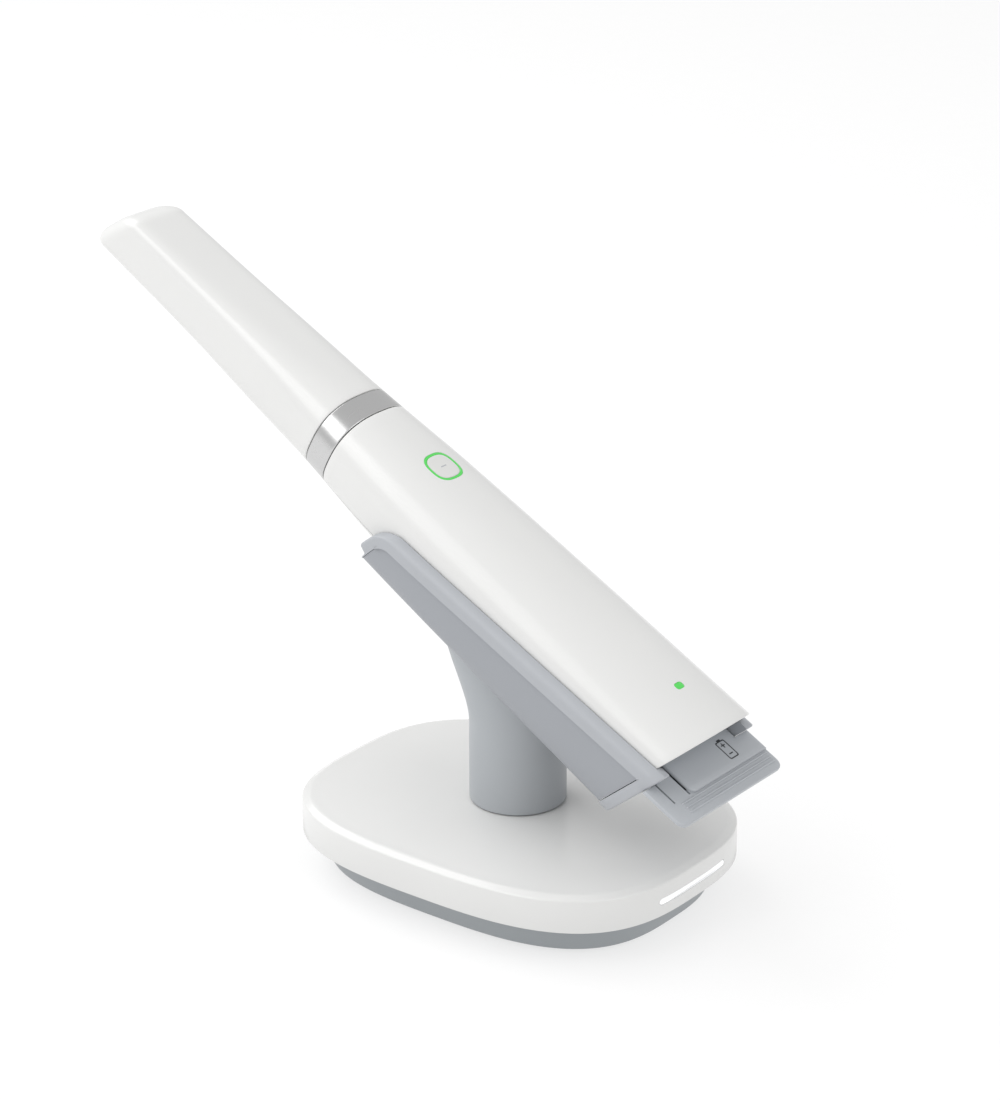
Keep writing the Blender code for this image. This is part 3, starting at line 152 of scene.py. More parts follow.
PLATEAU_CROWN_START = 0.1
PLATEAU_CROWN = 0.25 * MM
PLATEAU_CROWN_INSET = PLATEAU_NEAR / 6
PLATEAU_MARGIN = 0.5 * MM
LEAST_CORNER = 0.1 * MM
SLIT_WIDTH = 0.75 * MM
SLIT_DEPTH = 1.6 * MM
SLIT_END = 91.6 * MM
SLIT_SPACING = 8.1 * MM
GRIP_RIBS = (93.1 * MM, 94.9 * MM, 96.7 * MM)
GRIP_RIB_WIDTH = 0.9 * MM
GRIP_RIB_HEIGHT = 0.55 * MM
GRIP_RIB_MARGIN = 1.2 * MM
GRIP_RIB_NEAR_MARGIN = 7.4 * MM
GRIP_RIB_FADE = 0.5 * MM
GRIP_RIB_POINTS = 9
GRIP_RIB_END_SHARE = 0.3

# Battery sign on the grip
SIGN_CENTRE = (85.8 * MM, 12.5 * MM)
SIGN_HALF = (3.7 * MM, 2.3 * MM)
SIGN_CORNER = 0.7 * MM
SIGN_LINE = 0.42 * MM
SIGN_RAISED = 0.04 * MM
SIGN_SUNK = 0.5 * MM
SIGN_KNOB_HALF = (0.35 * MM, 0.9 * MM)
SIGN_KNOB_CORNER = 0.15 * MM
SIGN_KNOB_REACH = 0.25 * MM
SIGN_MARK_PLACE = 1.8 * MM
SIGN_MARK_HALF = 0.95 * MM

# Cradle
CRADLE_FRONT = -33.5 * MM
LINER_WALL = 1.0 * MM
HOUSING_WALL = 1.2 * MM
HOUSING_STEP = 0.5 * MM
RIM_WIDTH = LINER_WALL + GAP + HOUSING_WALL + HOUSING_STEP
RIM_HEIGHT = 5.0 * MM
RIM_ROUND = 1.3 * MM
RIM_LIP = 0.3 * MM
RIM_LIP_SHARES = (0.4, 0.8)
RIM_ARC_POINTS = 8
RIM_TILTS = (math.radians(14.0), math.radians(45.0), math.radians(90.0))
RIM_RADII = (5.0 * MM, 3.0 * MM)
CRADLE_NOSE = -36.0 * MM
NOSE_LENGTH = 4.2 * MM
NOSE_RADIUS = 7.5 * MM
NOSE_ROUND = 0.9 * MM
NOSE_FIRST_TURN = math.radians(20.0)
NOSE_ROUND_RINGS = 9
NOSE_RINGS = 6
NOSE_FALL = 0.3
NOSE_CHIN = -18.8 * MM
NOSE_CHIN_RISE = 2.2 * MM
NOSE_CHIN_WALL = 0.6 * MM
PANEL_FRONT_RADIUS = 4.0 * MM
PANEL_REAR_RADIUS = 1.0 * MM
PANEL_CORNER_RINGS = 14
PANEL_REAR_STEP = 3
FLANGE_LENGTH = 4.2 * MM
FLANGE_DRAFT = 0.1 * MM
FLANGE_END_ROUND = 0.7 * MM
FLANGE_LIP = 2.2 * MM
HOUSING_POWER = 4.8
BELLY_FRONT = -25.6 * MM
BELLY_TAIL = -31.6 * MM
CRADLE_STATIONS = 40
CRADLE_POINTS = 81

# Stem
STEM_FOOT_RADIUS = 15.8 * MM
STEM_HEAD_CENTRE = 9.0 * MM
STEM_HEAD_HALF_LENGTH = 27.0 * MM
STEM_HEAD_HALF_WIDTH = 15.0 * MM
STEM_FLARE_START = 0.45
STEM_POINTS = 96
STEM_FOOT_EDGE = 0.3 * MM
STEM_FOOT_SHARE = 0.006
STEM_FIRST_SHARE = 0.05
STEM_RINGS = 40

# Base
BASE_HALF_LENGTH = 70.0 * MM
BASE_HALF_WIDTH = 53.2 * MM
BASE_POWER = 2.95
BASE_POINTS = 176
BASE_EDGE_HEIGHT = 24.6 * MM
BASE_CROWN = 2.6 * MM
BASE_TOP = BASE_EDGE_HEIGHT + BASE_CROWN
COVER_BOTTOM = 12.2 * MM
COVER_WALL = 2.4 * MM
COVER_ROLL = 3.4 * MM
COVER_ROLL_DROP = 0.9 * MM
COVER_CREASE = 0.9 * MM
COVER_CREASE_TURN = 1.1
COVER_ROLL_START = 0.08
COVER_EDGE_RINGS = 6
COVER_ROLL_RINGS = 8
CROWN_RINGS = 16
COVER_LEDGE = 0.8 * MM
COVER_FOOT = ((0.0, 0.3 * MM), (0.1 * MM, 0.1 * MM), (0.3 * MM, 0.0))
CROWN_FLAT_MARGIN = 1.5 * MM
PAN_BOTTOM = 1.0 * MM
PAN_WALL = 2.2 * MM
PAN_RIM_INSET = 4.0 * MM
PAN_FOOT_INSET = 9.0 * MM
PAN_BULGE = 1.2
PAN_FOOT_CHAMFER = (1.7 * MM, 0.9 * MM)
PAN_FLOOR = 3.2 * MM
PAN_OUTER_RINGS = 14
PAN_INNER_RINGS = 8
LIGHT_BAR_HALF = 17.5 * MM
LIGHT_BAR_LEVEL = 17.2 * MM
LIGHT_BAR_HEIGHT = 1.7 * MM
LIGHT_BAR_DEPTH = 4.0 * MM
LIGHT_BAR_SUNK = 0.05 * MM
LIGHT_SLOT_MARGIN = 3.0 * MM
LIGHT_BAR_END_POINTS = 10
LIGHT_BAR_END_FLAT = 0.01 * MM
LIGHT_BAR_PIECES = 12
LIGHT_BAR_LONG_SIDE = 5.0 * MM

# Camera fitted to the photograph
CAMERA_PLACE = (0.63348, -0.83082, 0.53879)
CAMERA_AZIMUTH = math.radians(37.632)
CAMERA_ELEVATION = math.radians(22.159)
CAMERA_ROLL = math.radians(-0.188)
CAMERA_LENS = 116.81

# Studio light: softboxes by name, azimuth, elevation, size and power
WORLD_STRENGTH = 0.69
LIGHT_TARGET = (0.0, 0.0, 0.1)
LIGHT_DISTANCE = 1.5
SOFTBOXES = (
    ("front_softbox", -5.0, 38.0, (0.6, 1.35), 3.1),
    ("corner_softbox", -35.0, 40.0, (0.9, 1.0), 5.4),
    ("left_softbox", -90.0, 45.0, (1.2, 1.0), 9.6),
    ("right_softbox", 90.0, 34.0, (1.2, 1.0), 4.7),
)
FLOOR_HALF_SIZE = 6.0
FLOOR_GLOW = 0.675

# Surfaces
TONE_SCALE = 28.0
ROUGH_SCALE = 90.0
GRAIN_DEPTH = 0.05 * MM
PLASTIC_IOR = 1.46


# Outlines

def steps(start, stop, count):
    return [start + (stop - start) * k / (count - 1) for k in range(count)]


def smooth(value):
    value = min(max(value, 0.0), 1.0)
    return value * value * (3.0 - 2.0 * value)


def rounded_rect(half_x, half_y, radius, pieces=8):
    points = []
    for corner, (sx, sy) in enumerate(((1, 1), (-1, 1), (-1, -1), (1, -1))):
        for k in range(pieces + 1):
            angle = math.radians(90.0 * (corner + k / pieces))
            points.append((sx * (half_x - radius) + radius * math.cos(angle),
                           sy * (half_y - radius) + radius * math.sin(angle)))
    return points


def power_point(half_x, half_y, power, angle):
    c, s = math.cos(angle), math.sin(angle)
    return (half_x * math.copysign(abs(c) ** (2 / power), c),
            half_y * math.copysign(abs(s) ** (2 / power), s))


def base_outline(inset):
    half_length, half_width = BASE_HALF_LENGTH - inset, BASE_HALF_WIDTH - inset
    return [power_point(half_length, half_width, BASE_POWER, 2 * math.pi * k / BASE_POINTS)
            for k in range(BASE_POINTS)]


def scaled(outline, share):
    return [(x * share, y * share) for x, y in outline]


def shifted(outline, x, y=0.0):
    return [(x + a, y + b) for a, b in outline]


def ring_at(outline, level):
    return [(x, y, level) for x, y in outline]


# Handpiece form

def section_at(along):
    last = len(SECTIONS) - 1
    k = 0
    while k < last - 1 and along > SECTIONS[k + 1].along:
        k += 1
    a, b = SECTIONS[k], SECTIONS[k + 1]
    before, after = SECTIONS[max(k - 1, 0)], SECTIONS[min(k + 2, last)]
    span = b.along - a.along
    u = (along - a.along) / span
    if u < 0.0:
        return a._replace(along=along)
    if u > 1.0:
        return b._replace(along=along)
    values = [along]
    for name in Section._fields[1:]:
        p, q = getattr(a, name), getattr(b, name)
        slope_a = (q - getattr(before, name)) / (b.along - before.along) * span
        slope_b = (getattr(after, name) - p) / (after.along - a.along) * span
        values.append(p * (2 * u**3 - 3 * u**2 + 1) + slope_a * (u**3 - 2 * u**2 + u)
                      + q * (3 * u**2 - 2 * u**3) + slope_b * (u**3 - u**2))
    return Section(*values)


def section_point(along, angle, inset):
    s = section_at(along)
    if math.sin(angle) >= 0.0:
        y, z = power_point(s.half_width - inset, s.top - s.widest - inset, s.top_power, angle)
    else:
        y, z = power_point(s.half_width - inset, s.widest - s.bottom - inset, s.bottom_power, angle)
    return y, z + s.widest


def form_point(along, angle, inset, slope):
    """Point of the handpiece's skin in the plane through `along` that leans by `slope`."""
    y, z = section_point(along, angle, inset)
    for _ in range(FORM_ROUNDS):
        y, z = section_point(along + slope * z, angle, inset)
    return along + slope * z, y, z


def form_ring(along, inset, slope=0.0):
    return [form_point(along, 2 * math.pi * k / SKIN_POINTS, inset, slope) for k in range(SKIN_POINTS)]


def angle_at_level(along, level, inset, slope):
    """Angle under the widest line, on the +y side, at which the skin reaches a height."""
    low, high = -math.pi / 2, 0.0
    for _ in range(HALVINGS):
        mid = (low + high) / 2
        if form_point(along, mid, inset, slope)[2] < level:
            low = mid
        else:
            high = mid
    return (low + high) / 2


def quarter_round(radius, count):
    """Steps of a quarter circle, each as two distances: back from one face and in from the face beside it."""
    return [(radius * (1.0 - math.cos(turn)), radius * (1.0 - math.sin(turn)))
            for turn in steps(0.0, math.pi / 2, count)]


def arc_points(along, start, stop, count, inset, slope):
    return [form_point(along, angle, inset, slope) for angle in steps(start, stop, count)]


def skin_height(along, y, inset=0.0):
    s = section_at(along)
    share = min(abs(y) / (s.half_width - inset), 1.0)
    return s.widest + (s.top - s.widest - inset) * (1.0 - share**s.top_power) ** (1.0 / s.top_power)


def tip_slope(along):
    return TIP_END_SLOPE * (1.0 - smooth((along - TIP_FRONT) / TIP_SLOPE_FADE))


def tail_slope(along):
    return CUT_SLOPE * smooth((along - (TAIL_END - CUT_FADE)) / CUT_FADE)


# Meshes

def skin(rings, closed=False, placing=None):
    """Mesh through rings of equally many points: open ends are capped, a closed row joins its ends."""
    bm = bmesh.new()
    placing = placing or Matrix.Identity(4)
    rows = [[bm.verts.new(placing @ Vector(p)) for p in ring] for ring in rings]
    count = len(rows[0])
    pairs = list(zip(rows, rows[1:]))
    if closed:
        pairs.append((rows[-1], rows[0]))
    for near, far in pairs:
        for k in range(count):
            bm.faces.new((near[k], near[(k + 1) % count], far[(k + 1) % count], far[k]))
    if not closed:
        bm.faces.new(rows[0])
        bm.faces.new(rows[-1])
    bmesh.ops.recalc_face_normals(bm, faces=bm.faces)
    return bm


def add_object(name, bm, mat):
    mesh = bpy.data.meshes.new(name)
    bm.to_mesh(mesh)
    bm.free()
    mesh.materials.append(mat)
    item = bpy.data.objects.new(name, mesh)
    bpy.context.scene.collection.objects.link(item)
    return item


def bake(item):
    """Turns an object's modifiers into its mesh."""
    graph = bpy.context.evaluated_depsgraph_get()
    mesh = bpy.data.meshes.new_from_object(item.evaluated_get(graph))
    item.modifiers.clear()
    item.data = mesh


def combine(item, tools, operation):
    for tool in tools:
        modifier = item.modifiers.new(operation.lower(), "BOOLEAN")
        modifier.operation = operation
        modifier.solver = "EXACT"
        modifier.object = tool
    bake(item)
    for tool in tools:
        bpy.data.objects.remove(tool, do_unlink=True)


def soften_edges(item, width, angle=38.0, segments=3):
    modifier = item.modifiers.new("bevel", "BEVEL")
    modifier.width = width
    modifier.segments = segments
    modifier.limit_method = "ANGLE"
    modifier.angle_limit = math.radians(angle)
    modifier.harden_normals = True
    bake(item)


def dress(item, body, slot, *nodes, sharp=40.0):
    """Last step of a piece: smooth shading, its body, the nodes it stands for. The slot argument is not used.
    """
    item.data.shade_smooth()
    item.data.set_sharp_from_angle(angle=math.radians(sharp))
    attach(item, body)
    if nodes:
        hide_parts(*nodes)
    return item


# Materials

def add_node(tree, kind, inputs=(), **settings):
    node = tree.nodes.new(kind)
    for name, value in settings.items():
        setattr(node, name, value)
    for name, value in inputs:
        if isinstance(value, bpy.types.NodeSocket):
            tree.links.new(value, node.inputs[name])
        else:
            node.inputs[name].default_value = value
    return node


def noise(tree, scale, detail):
    place = add_node(tree, "ShaderNodeTexCoord").outputs["Object"]
    inputs = (("Vector", place), ("Scale", scale), ("Detail", detail))
    return add_node(tree, "ShaderNodeTexNoise", inputs).outputs[0]


def spread(tree, value, low, high):
    inputs = (("Value", value), ("To Min", low), ("To Max", high))
    return add_node(tree, "ShaderNodeMapRange", inputs).outputs[0]


def toned(colour, change):
    return (*[min(max(c * (1.0 + change), 0.0), 1.0) for c in colour], 1.0)


def finish_material(name, colour, roughness, *, metallic=0.0, grain=0.03, grain_size=0.35 * MM, drift=0.02,
                    rough_drift=0.12, coat=0.0, coat_roughness=0.1, glow=0.0):
    """Moulded or machined finish: fine grain as bump, slow drifts of tone and of roughness."""
    mat = bpy.data.materials.new(name)
    mat.use_nodes = True
    tree = mat.node_tree
    shader = tree.nodes["Principled BSDF"]
    shader.inputs["Metallic"].default_value = metallic
    shader.inputs["IOR"].default_value = PLASTIC_IOR
    shader.inputs["Coat Weight"].default_value = coat
    shader.inputs["Coat Roughness"].default_value = coat_roughness

    slow = noise(tree, TONE_SCALE, 3.0)
    tone = add_node(tree, "ShaderNodeMix", (("Factor", slow),), data_type="RGBA")
    tone.inputs[6].default_value, tone.inputs[7].default_value = toned(colour, -drift), toned(colour, drift)
    tree.links.new(tone.outputs[2], shader.inputs["Base Color"])

    fine = noise(tree, 1.0 / grain_size, 4.0)
    patches = noise(tree, ROUGH_SCALE, 3.0)
    rough = spread(tree, patches, roughness * (1.0 - rough_drift), roughness * (1.0 + rough_drift))
    tree.links.new(rough, shader.inputs["Roughness"])
    inputs = (("Strength", grain), ("Distance", GRAIN_DEPTH), ("Height", fine))
    bump = add_node(tree, "ShaderNodeBump", inputs)
    tree.links.new(bump.outputs[0], shader.inputs["Normal"])
    if glow:
        tree.links.new(tone.outputs[2], shader.inputs["Emission Color"])
        shader.inputs["Emission Strength"].default_value = glow
    mat.diffuse_color = (*colour, 1.0)
    return mat


def make_materials():
    return {
        "white_plastic": finish_material("white_plastic", (0.70, 0.70, 0.691), 0.30, grain=0.05, coat=0.4,
                                         coat_roughness=0.12),
        "button_plastic": finish_material("button_plastic", (0.66, 0.66, 0.645), 0.30, grain=0.03),
        "silver_trim": finish_material("silver_trim", (0.60, 0.60, 0.60), 0.27, metallic=1.0, grain=0.02),
        "cradle_rim_plastic": finish_material("cradle_rim_plastic", (0.40, 0.415, 0.44), 0.38, grain=0.08),
        "cradle_panel_plastic": finish_material("cradle_panel_plastic", (0.317, 0.331, 0.356), 0.44,
                                                grain=0.10),
        "stem_plastic": finish_material("stem_plastic", (0.385, 0.405, 0.425), 0.42, grain=0.08),
        "pan_plastic": finish_material("pan_plastic", (0.27, 0.29, 0.305), 0.45, grain=0.12),
        "grip_plastic": finish_material("grip_plastic", (0.43, 0.45, 0.475), 0.40, grain=0.08),
        "dark_plastic": finish_material("dark_plastic", (0.035, 0.037, 0.04), 0.45, grain=0.08),
        "rubber": finish_material("rubber", (0.05, 0.052, 0.055), 0.75, grain=0.2, drift=0.08),
        "mirror_glass": finish_material("mirror_glass", (0.86, 0.88, 0.9), 0.04, metallic=1.0, grain=0.0),
        "window_glass": finish_material("window_glass", (0.10, 0.12, 0.14), 0.05, grain=0.0, coat=1.0),
        "green_light": finish_material("green_light", (0.05, 0.34, 0.058), 0.3, grain=0.02, glow=0.9),
        "white_light": finish_material("white_light", (0.90, 0.91, 0.92), 0.3, grain=0.02, glow=0.35),
        "cast_aluminium": finish_material("cast_aluminium", (0.55, 0.56, 0.57), 0.42, metallic=1.0,
                                          grain=0.25, grain_size=0.8 * MM),
        "ballast_steel": finish_material("ballast_steel", (0.30, 0.31, 0.32), 0.5, metallic=1.0,
                                         grain=0.2, grain_size=1.2 * MM),
        "steel": finish_material("steel", (0.60, 0.61, 0.62), 0.28, metallic=1.0, grain=0.05),
        "gold_plating": finish_material("gold_plating", (0.86, 0.63, 0.25), 0.22, metallic=1.0, grain=0.02),
        "circuit_board": finish_material("circuit_board", (0.02, 0.16, 0.075), 0.4, grain=0.1, coat=0.4),
        "cell_sleeve": finish_material("cell_sleeve", (0.05, 0.12, 0.32), 0.35, grain=0.04, coat=0.3),
        "lens_barrel": finish_material("lens_barrel", (0.03, 0.03, 0.035), 0.35, grain=0.05),
    }


def repaint_nodes(mats):
    """Gives every CAD node the scene's material of its own slot."""
    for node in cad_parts.values():
        for k, old in enumerate(node.data.materials):
            slot = old.name.split(".")[0]
            node.data.materials[k] = mats[slot]


# Tip, trim ring and handle

def tip_end_rings(inset, count):
    rings = []
    for turn in steps(0.0, math.pi / 2, count):
        radius = TIP_END_ROUND - inset
        along = TIP_FRONT + inset * math.hypot(1.0, TIP_END_SLOPE) + radius * (1.0 - math.cos(turn))
        rings.append(form_ring(along, inset + radius * (1.0 - math.sin(turn)), TIP_END_SLOPE))
    return rings


def rounded_end(along, sign, radius=END_ROUND):
    """Places and insets of a small round at the end of a skin: sign is where the skin lies from the end."""
    return [(along + sign * back, inset) for back, inset in quarter_round(radius, END_ROUND_RINGS)]


def tip_window_hole(mat):
    """Cutter for the window, behind the foot of the mirror that leans up from the tip's floor."""
    floor = section_at(TIP_FRONT).bottom + TIP_WALL
    flat_start = TIP_FRONT + TIP_WALL * math.hypot(1.0, TIP_END_SLOPE) + TIP_END_ROUND - TIP_WALL
    mirror_front = flat_start + (TIP_END_SLOPE - MIRROR_SLOPE) * floor + GAP
    front = mirror_front + MIRROR_THICKNESS + MIRROR_SLOPE * floor + WINDOW_SETBACK
    centre = front + WINDOW_LENGTH / 2
    outline = shifted(rounded_rect(WINDOW_LENGTH / 2, WINDOW_HALF_WIDTH, WINDOW_CORNER), centre)
    rings = [ring_at(outline, level) for level in (floor - WINDOW_CUT_DEPTH, floor + TIP_WALL)]
    return add_object("tip_window_hole", skin(rings, placing=PLACING), mat)


def build_tip(mats):
    white = mats["white_plastic"]
    rear = RING_FRONT - GAP
    stations = steps(TIP_FRONT + TIP_END_ROUND, rear - END_ROUND, SKIN_STATIONS)[1:]
    outer = tip_end_rings(0.0, TIP_END_RINGS) + [form_ring(x, 0.0, tip_slope(x)) for x in stations]
    outer += [form_ring(x, inset, tip_slope(x)) for x, inset in reversed(rounded_end(rear, -1)[:-1])]
    inner = tip_end_rings(TIP_WALL, TIP_INNER_END_RINGS)
    inner += [form_ring(x, TIP_WALL, tip_slope(x)) for x in stations[::TIP_INNER_STEP] + [rear]]
    tip = add_object("tip_sleeve", skin(outer + inner[::-1], placing=PLACING), white)
    combine(tip, [tip_window_hole(white)], "DIFFERENCE")
    dress(tip, TIP, "white_plastic", "scan_tip")


def build_trim_ring(mats):
    front, rear = RING_FRONT, RING_FRONT + RING_LENGTH
    outer = [form_ring(x, inset) for x, inset in rounded_end(front, 1)]
    outer += [form_ring(x, 0.0) for x in steps(front + END_ROUND, rear - END_ROUND, TRIM_RING_STATIONS)[1:-1]]
    outer += [form_ring(x, inset) for x, inset in reversed(rounded_end(rear, -1))]
    inner = [form_ring(x, NOSE_INSET - GAP) for x in (rear, front)]
    ring = add_object("trim_collar", skin(outer + inner, closed=True, placing=PLACING), mats["silver_trim"])
    dress(ring, STAND, "silver_trim", "trim_ring")


def shell_profile(along, slope, level, upper, edge):
    """One closed outline of a housing half: outer skin out, inner skin back."""
    points = []
    for inset, backwards in ((edge, False), (SHELL_WALL, True)):
        start = angle_at_level(along, level, inset, slope)
        if upper:
            arc = arc_points(along, start, math.pi - start, TOP_SHELL_POINTS, inset, slope)
        else:
            arc = arc_points(along, start, -math.pi - start, BELLY_SHELL_POINTS, inset, slope)
        points += list(reversed(arc)) if backwards else arc
    return points


def surface_patch(outline, along, side, offset):
    """Outline laid on the handle's top skin round a place, or sunk below it by an offset."""
    return [(along + x, side + y, skin_height(along + x, side + y) - offset) for x, y in outline]


def light_outline(grow):
    """Soft oval of the light ring's outer edge, grown or shrunk."""
    half_x, half_y = RING_LIGHT_HALF[0] + grow, RING_LIGHT_HALF[1] + grow
    return [power_point(half_x, half_y, RING_LIGHT_POWER, 2 * math.pi * k / RING_LIGHT_POINTS)
            for k in range(RING_LIGHT_POINTS)]


def status_outline(grow):
    return rounded_rect(STATUS_HALF[0] + grow, STATUS_HALF[1] + grow, STATUS_CORNER + grow)


def control_hole(name, outline, along, side, mat):
    top = skin_height(along, 0.0)
    rings = [[(along + x, side + y, level) for x, y in outline]
             for level in (top - CONTROL_HOLE_DEPTH, top + CONTROL_HOLE_RISE)]
    return add_object(name, skin(rings, placing=PLACING), mat)


def build_handle(mats):
    white = mats["white_plastic"]
    front = RING_FRONT + RING_LENGTH + GAP
    stations = steps(front + END_ROUND, TAIL_END - END_ROUND, SKIN_STATIONS)[1:-1]
    ends = rounded_end(front, 1) + [(x, 0.0) for x in stations]
    ends += list(reversed(rounded_end(TAIL_END, -1)))
    halves = []
    for name, upper, level in (("handle_top_shell", True, SPLIT_LEVEL + GAP / 2),
                               ("handle_belly_shell", False, SPLIT_LEVEL - GAP / 2)):
        rings = [shell_profile(x, tail_slope(x), level, upper, edge) for x, edge in ends]
        halves.append(add_object(name, skin(rings, placing=PLACING), white))
    top, belly = halves
    holes = [control_hole("button_hole", light_outline(CONTROL_SEAM), BUTTON_ALONG, BUTTON_SIDE, white),
             control_hole("status_hole", status_outline(CONTROL_SEAM), STATUS_ALONG, 0.0, white)]
    combine(top, holes, "DIFFERENCE")
    dress(top, STAND, "white_plastic", "upper_housing")
    dress(belly, STAND, "white_plastic", "belly_cover")


def layered_patch(name, layers, along, side, mat, closed=False):
    """Piece let into the handle's top: each layer is an outline and its depth below the skin."""
    rings = [surface_patch(outline, along, side, depth) for outline, depth in layers]
    return add_object(name, skin(rings, closed=closed, placing=PLACING), mat)


def build_light_ring(mats):
    edge = RING_LIGHT_ROUND
    outer, inner = light_outline(0.0), light_outline(-RING_LIGHT_WIDTH)
    layers = ((outer, TRIM_DEPTH), (outer, edge), (light_outline(-edge), 0.0),
              (light_outline(edge - RING_LIGHT_WIDTH), 0.0), (inner, edge), (inner, TRIM_DEPTH))
    ring = layered_patch("button_halo", layers, BUTTON_ALONG, BUTTON_SIDE, mats["green_light"], closed=True)
    dress(ring, STAND, "green_light", "button_light_ring")


def build_button(mats):
    cap = light_outline(-RING_LIGHT_WIDTH - CONTROL_SEAM)
    shares = steps(BUTTON_INNER_SHARE, BUTTON_FLAT_SHARE, BUTTON_RINGS)
    layers = [(scaled(cap, share), 0.0) for share in shares]
    layers += [(scaled(cap, share), depth) for share, depth in BUTTON_EDGE] + [(cap, TRIM_DEPTH)]
    button = layered_patch("button_cap", layers, BUTTON_ALONG, BUTTON_SIDE, mats["button_plastic"])
    dress(button, BUTTON, "button_plastic", "scan_button")

    outline = rounded_rect(*BUTTON_MARK_HALF, BUTTON_MARK_CORNER)
    layers = [(outline, depth) for depth in (BUTTON_MARK_SUNK, -BUTTON_MARK_RAISED)]
    mark = layered_patch("button_mark", layers, BUTTON_ALONG, BUTTON_SIDE, mats["cradle_rim_plastic"])
    dress(mark, BUTTON, "cradle_rim_plastic")


def build_status_lamp(mats):
    outline = status_outline(0.0)
    layers = [(scaled(outline, share), depth) for share, depth in STATUS_EDGE] + [(outline, TRIM_DEPTH)]
    lamp = layered_patch("status_lamp", layers, STATUS_ALONG, 0.0, mats["green_light"])
    dress(lamp, STAND, "green_light", "status_light")


# Battery grip

def grip_half_width():
    return SECTIONS[-1].half_width + SLIDE_GAP + RIM_WIDTH + GRIP_OVERHANG


def grip_front(level):
    """Where the grip begins at a height, a running gap behind the handle's leaning tail."""
    return TAIL_END + GRIP_GAP + CUT_SLOPE * level


def grip_outline(level, inset):
    """Plate's outline: its middle reaches the handle's tail, its sides stay behind the cradle's flange."""
    tail = grip_front(level)
    shelf = SECTIONS[-1].half_width - SHELF_INSET
    side = grip_half_width() - inset
    half = [(tail, shelf), (tail + FLANGE_LENGTH, shelf), (tail + FLANGE_LENGTH, side)]
    half += [(GRIP_END - inset - back, side - away)
             for away, back in quarter_round(GRIP_CORNER, GRIP_CORNER_POINTS)]
    return half + [(x, -y) for x, y in reversed(half)]


def plateau_ring(level, inset):
    """Outline of the raised field on the plate, behind the cradle's flange and round at its near corner."""
    front = grip_front(level)
    start = front + FLANGE_LENGTH
    near, shelf = inset - PLATEAU_NEAR, SECTIONS[-1].half_width - SHELF_INSET - inset
    far, rear = grip_half_width() - PLATEAU_MARGIN - inset, PLATEAU_END - inset
    radius = max(PLATEAU_CORNER - inset, LEAST_CORNER)
    corner = [(rear - back, near + away) for back, away in quarter_round(radius, GRIP_CORNER_POINTS)]
    return ring_at([(front, near), (front, shelf), (start, shelf), (start, far), (rear, far)] + corner, level)


def build_plateau(mat):
    foot, edge = GRIP_TOP - GRIP_EDGE / 2, PLATEAU_TOP - PLATEAU_ROUND
    rings = [plateau_ring(level, 0.0) for level in (foot, edge)]
    rings += [plateau_ring(edge + PLATEAU_ROUND * math.sin(turn), PLATEAU_ROUND * (1.0 - math.cos(turn)))
              for turn in steps(0.0, PLATEAU_ROUND_TURN, PLATEAU_RINGS)[1:]]
    for share in steps(PLATEAU_CROWN_START, 1.0, PLATEAU_RINGS):
        inset = PLATEAU_ROUND + (PLATEAU_CROWN_INSET - PLATEAU_ROUND) * share
        rings.append(plateau_ring(PLATEAU_TOP + PLATEAU_CROWN * math.sin(math.pi / 2 * share), inset))
    return add_object("grip_plateau", skin(rings, placing=PLACING), mat)


def build_grip_ribs(mat):
    """Low round ribs across the plate, which sink away at their ends."""
    near, far = GRIP_RIB_NEAR_MARGIN - grip_half_width(), grip_half_width() - GRIP_RIB_MARGIN
    foot = GRIP_TOP - GRIP_ROUND
    ends = ((near, GRIP_RIB_END_SHARE), (near + GRIP_RIB_FADE, 1.0),
            (far - GRIP_RIB_FADE, 1.0), (far, GRIP_RIB_END_SHARE))
    ribs = []
    for number, x in enumerate(GRIP_RIBS, 1):
        section = [(x + GRIP_RIB_WIDTH / 2 * math.cos(turn), (GRIP_ROUND + GRIP_RIB_HEIGHT) * math.sin(turn))
                   for turn in steps(0.0, math.pi, GRIP_RIB_POINTS)]
        rings = [[(along, y, foot + rise * share) for along, rise in section] for y, share in ends]
        ribs.append(add_object(f"grip_rib_{number}", skin(rings, placing=PLACING), mat))
    return ribs


def sign_piece(name, outer, inner, mat):
    """Flat raised mark of the battery sign: a closed outline, or a ring where an inner one is given."""
    top = PLATEAU_TOP + PLATEAU_CROWN
    low, high = top - SIGN_SUNK, top + SIGN_RAISED
    outer = shifted(outer, *SIGN_CENTRE)
    if inner:
        inner = shifted(inner, *SIGN_CENTRE)
        rings = [ring_at(outer, low), ring_at(outer, high), ring_at(inner, high), ring_at(inner, low)]
        return add_object(name, skin(rings, closed=True, placing=PLACING), mat)
    return add_object(name, skin([ring_at(outer, low), ring_at(outer, high)], placing=PLACING), mat)


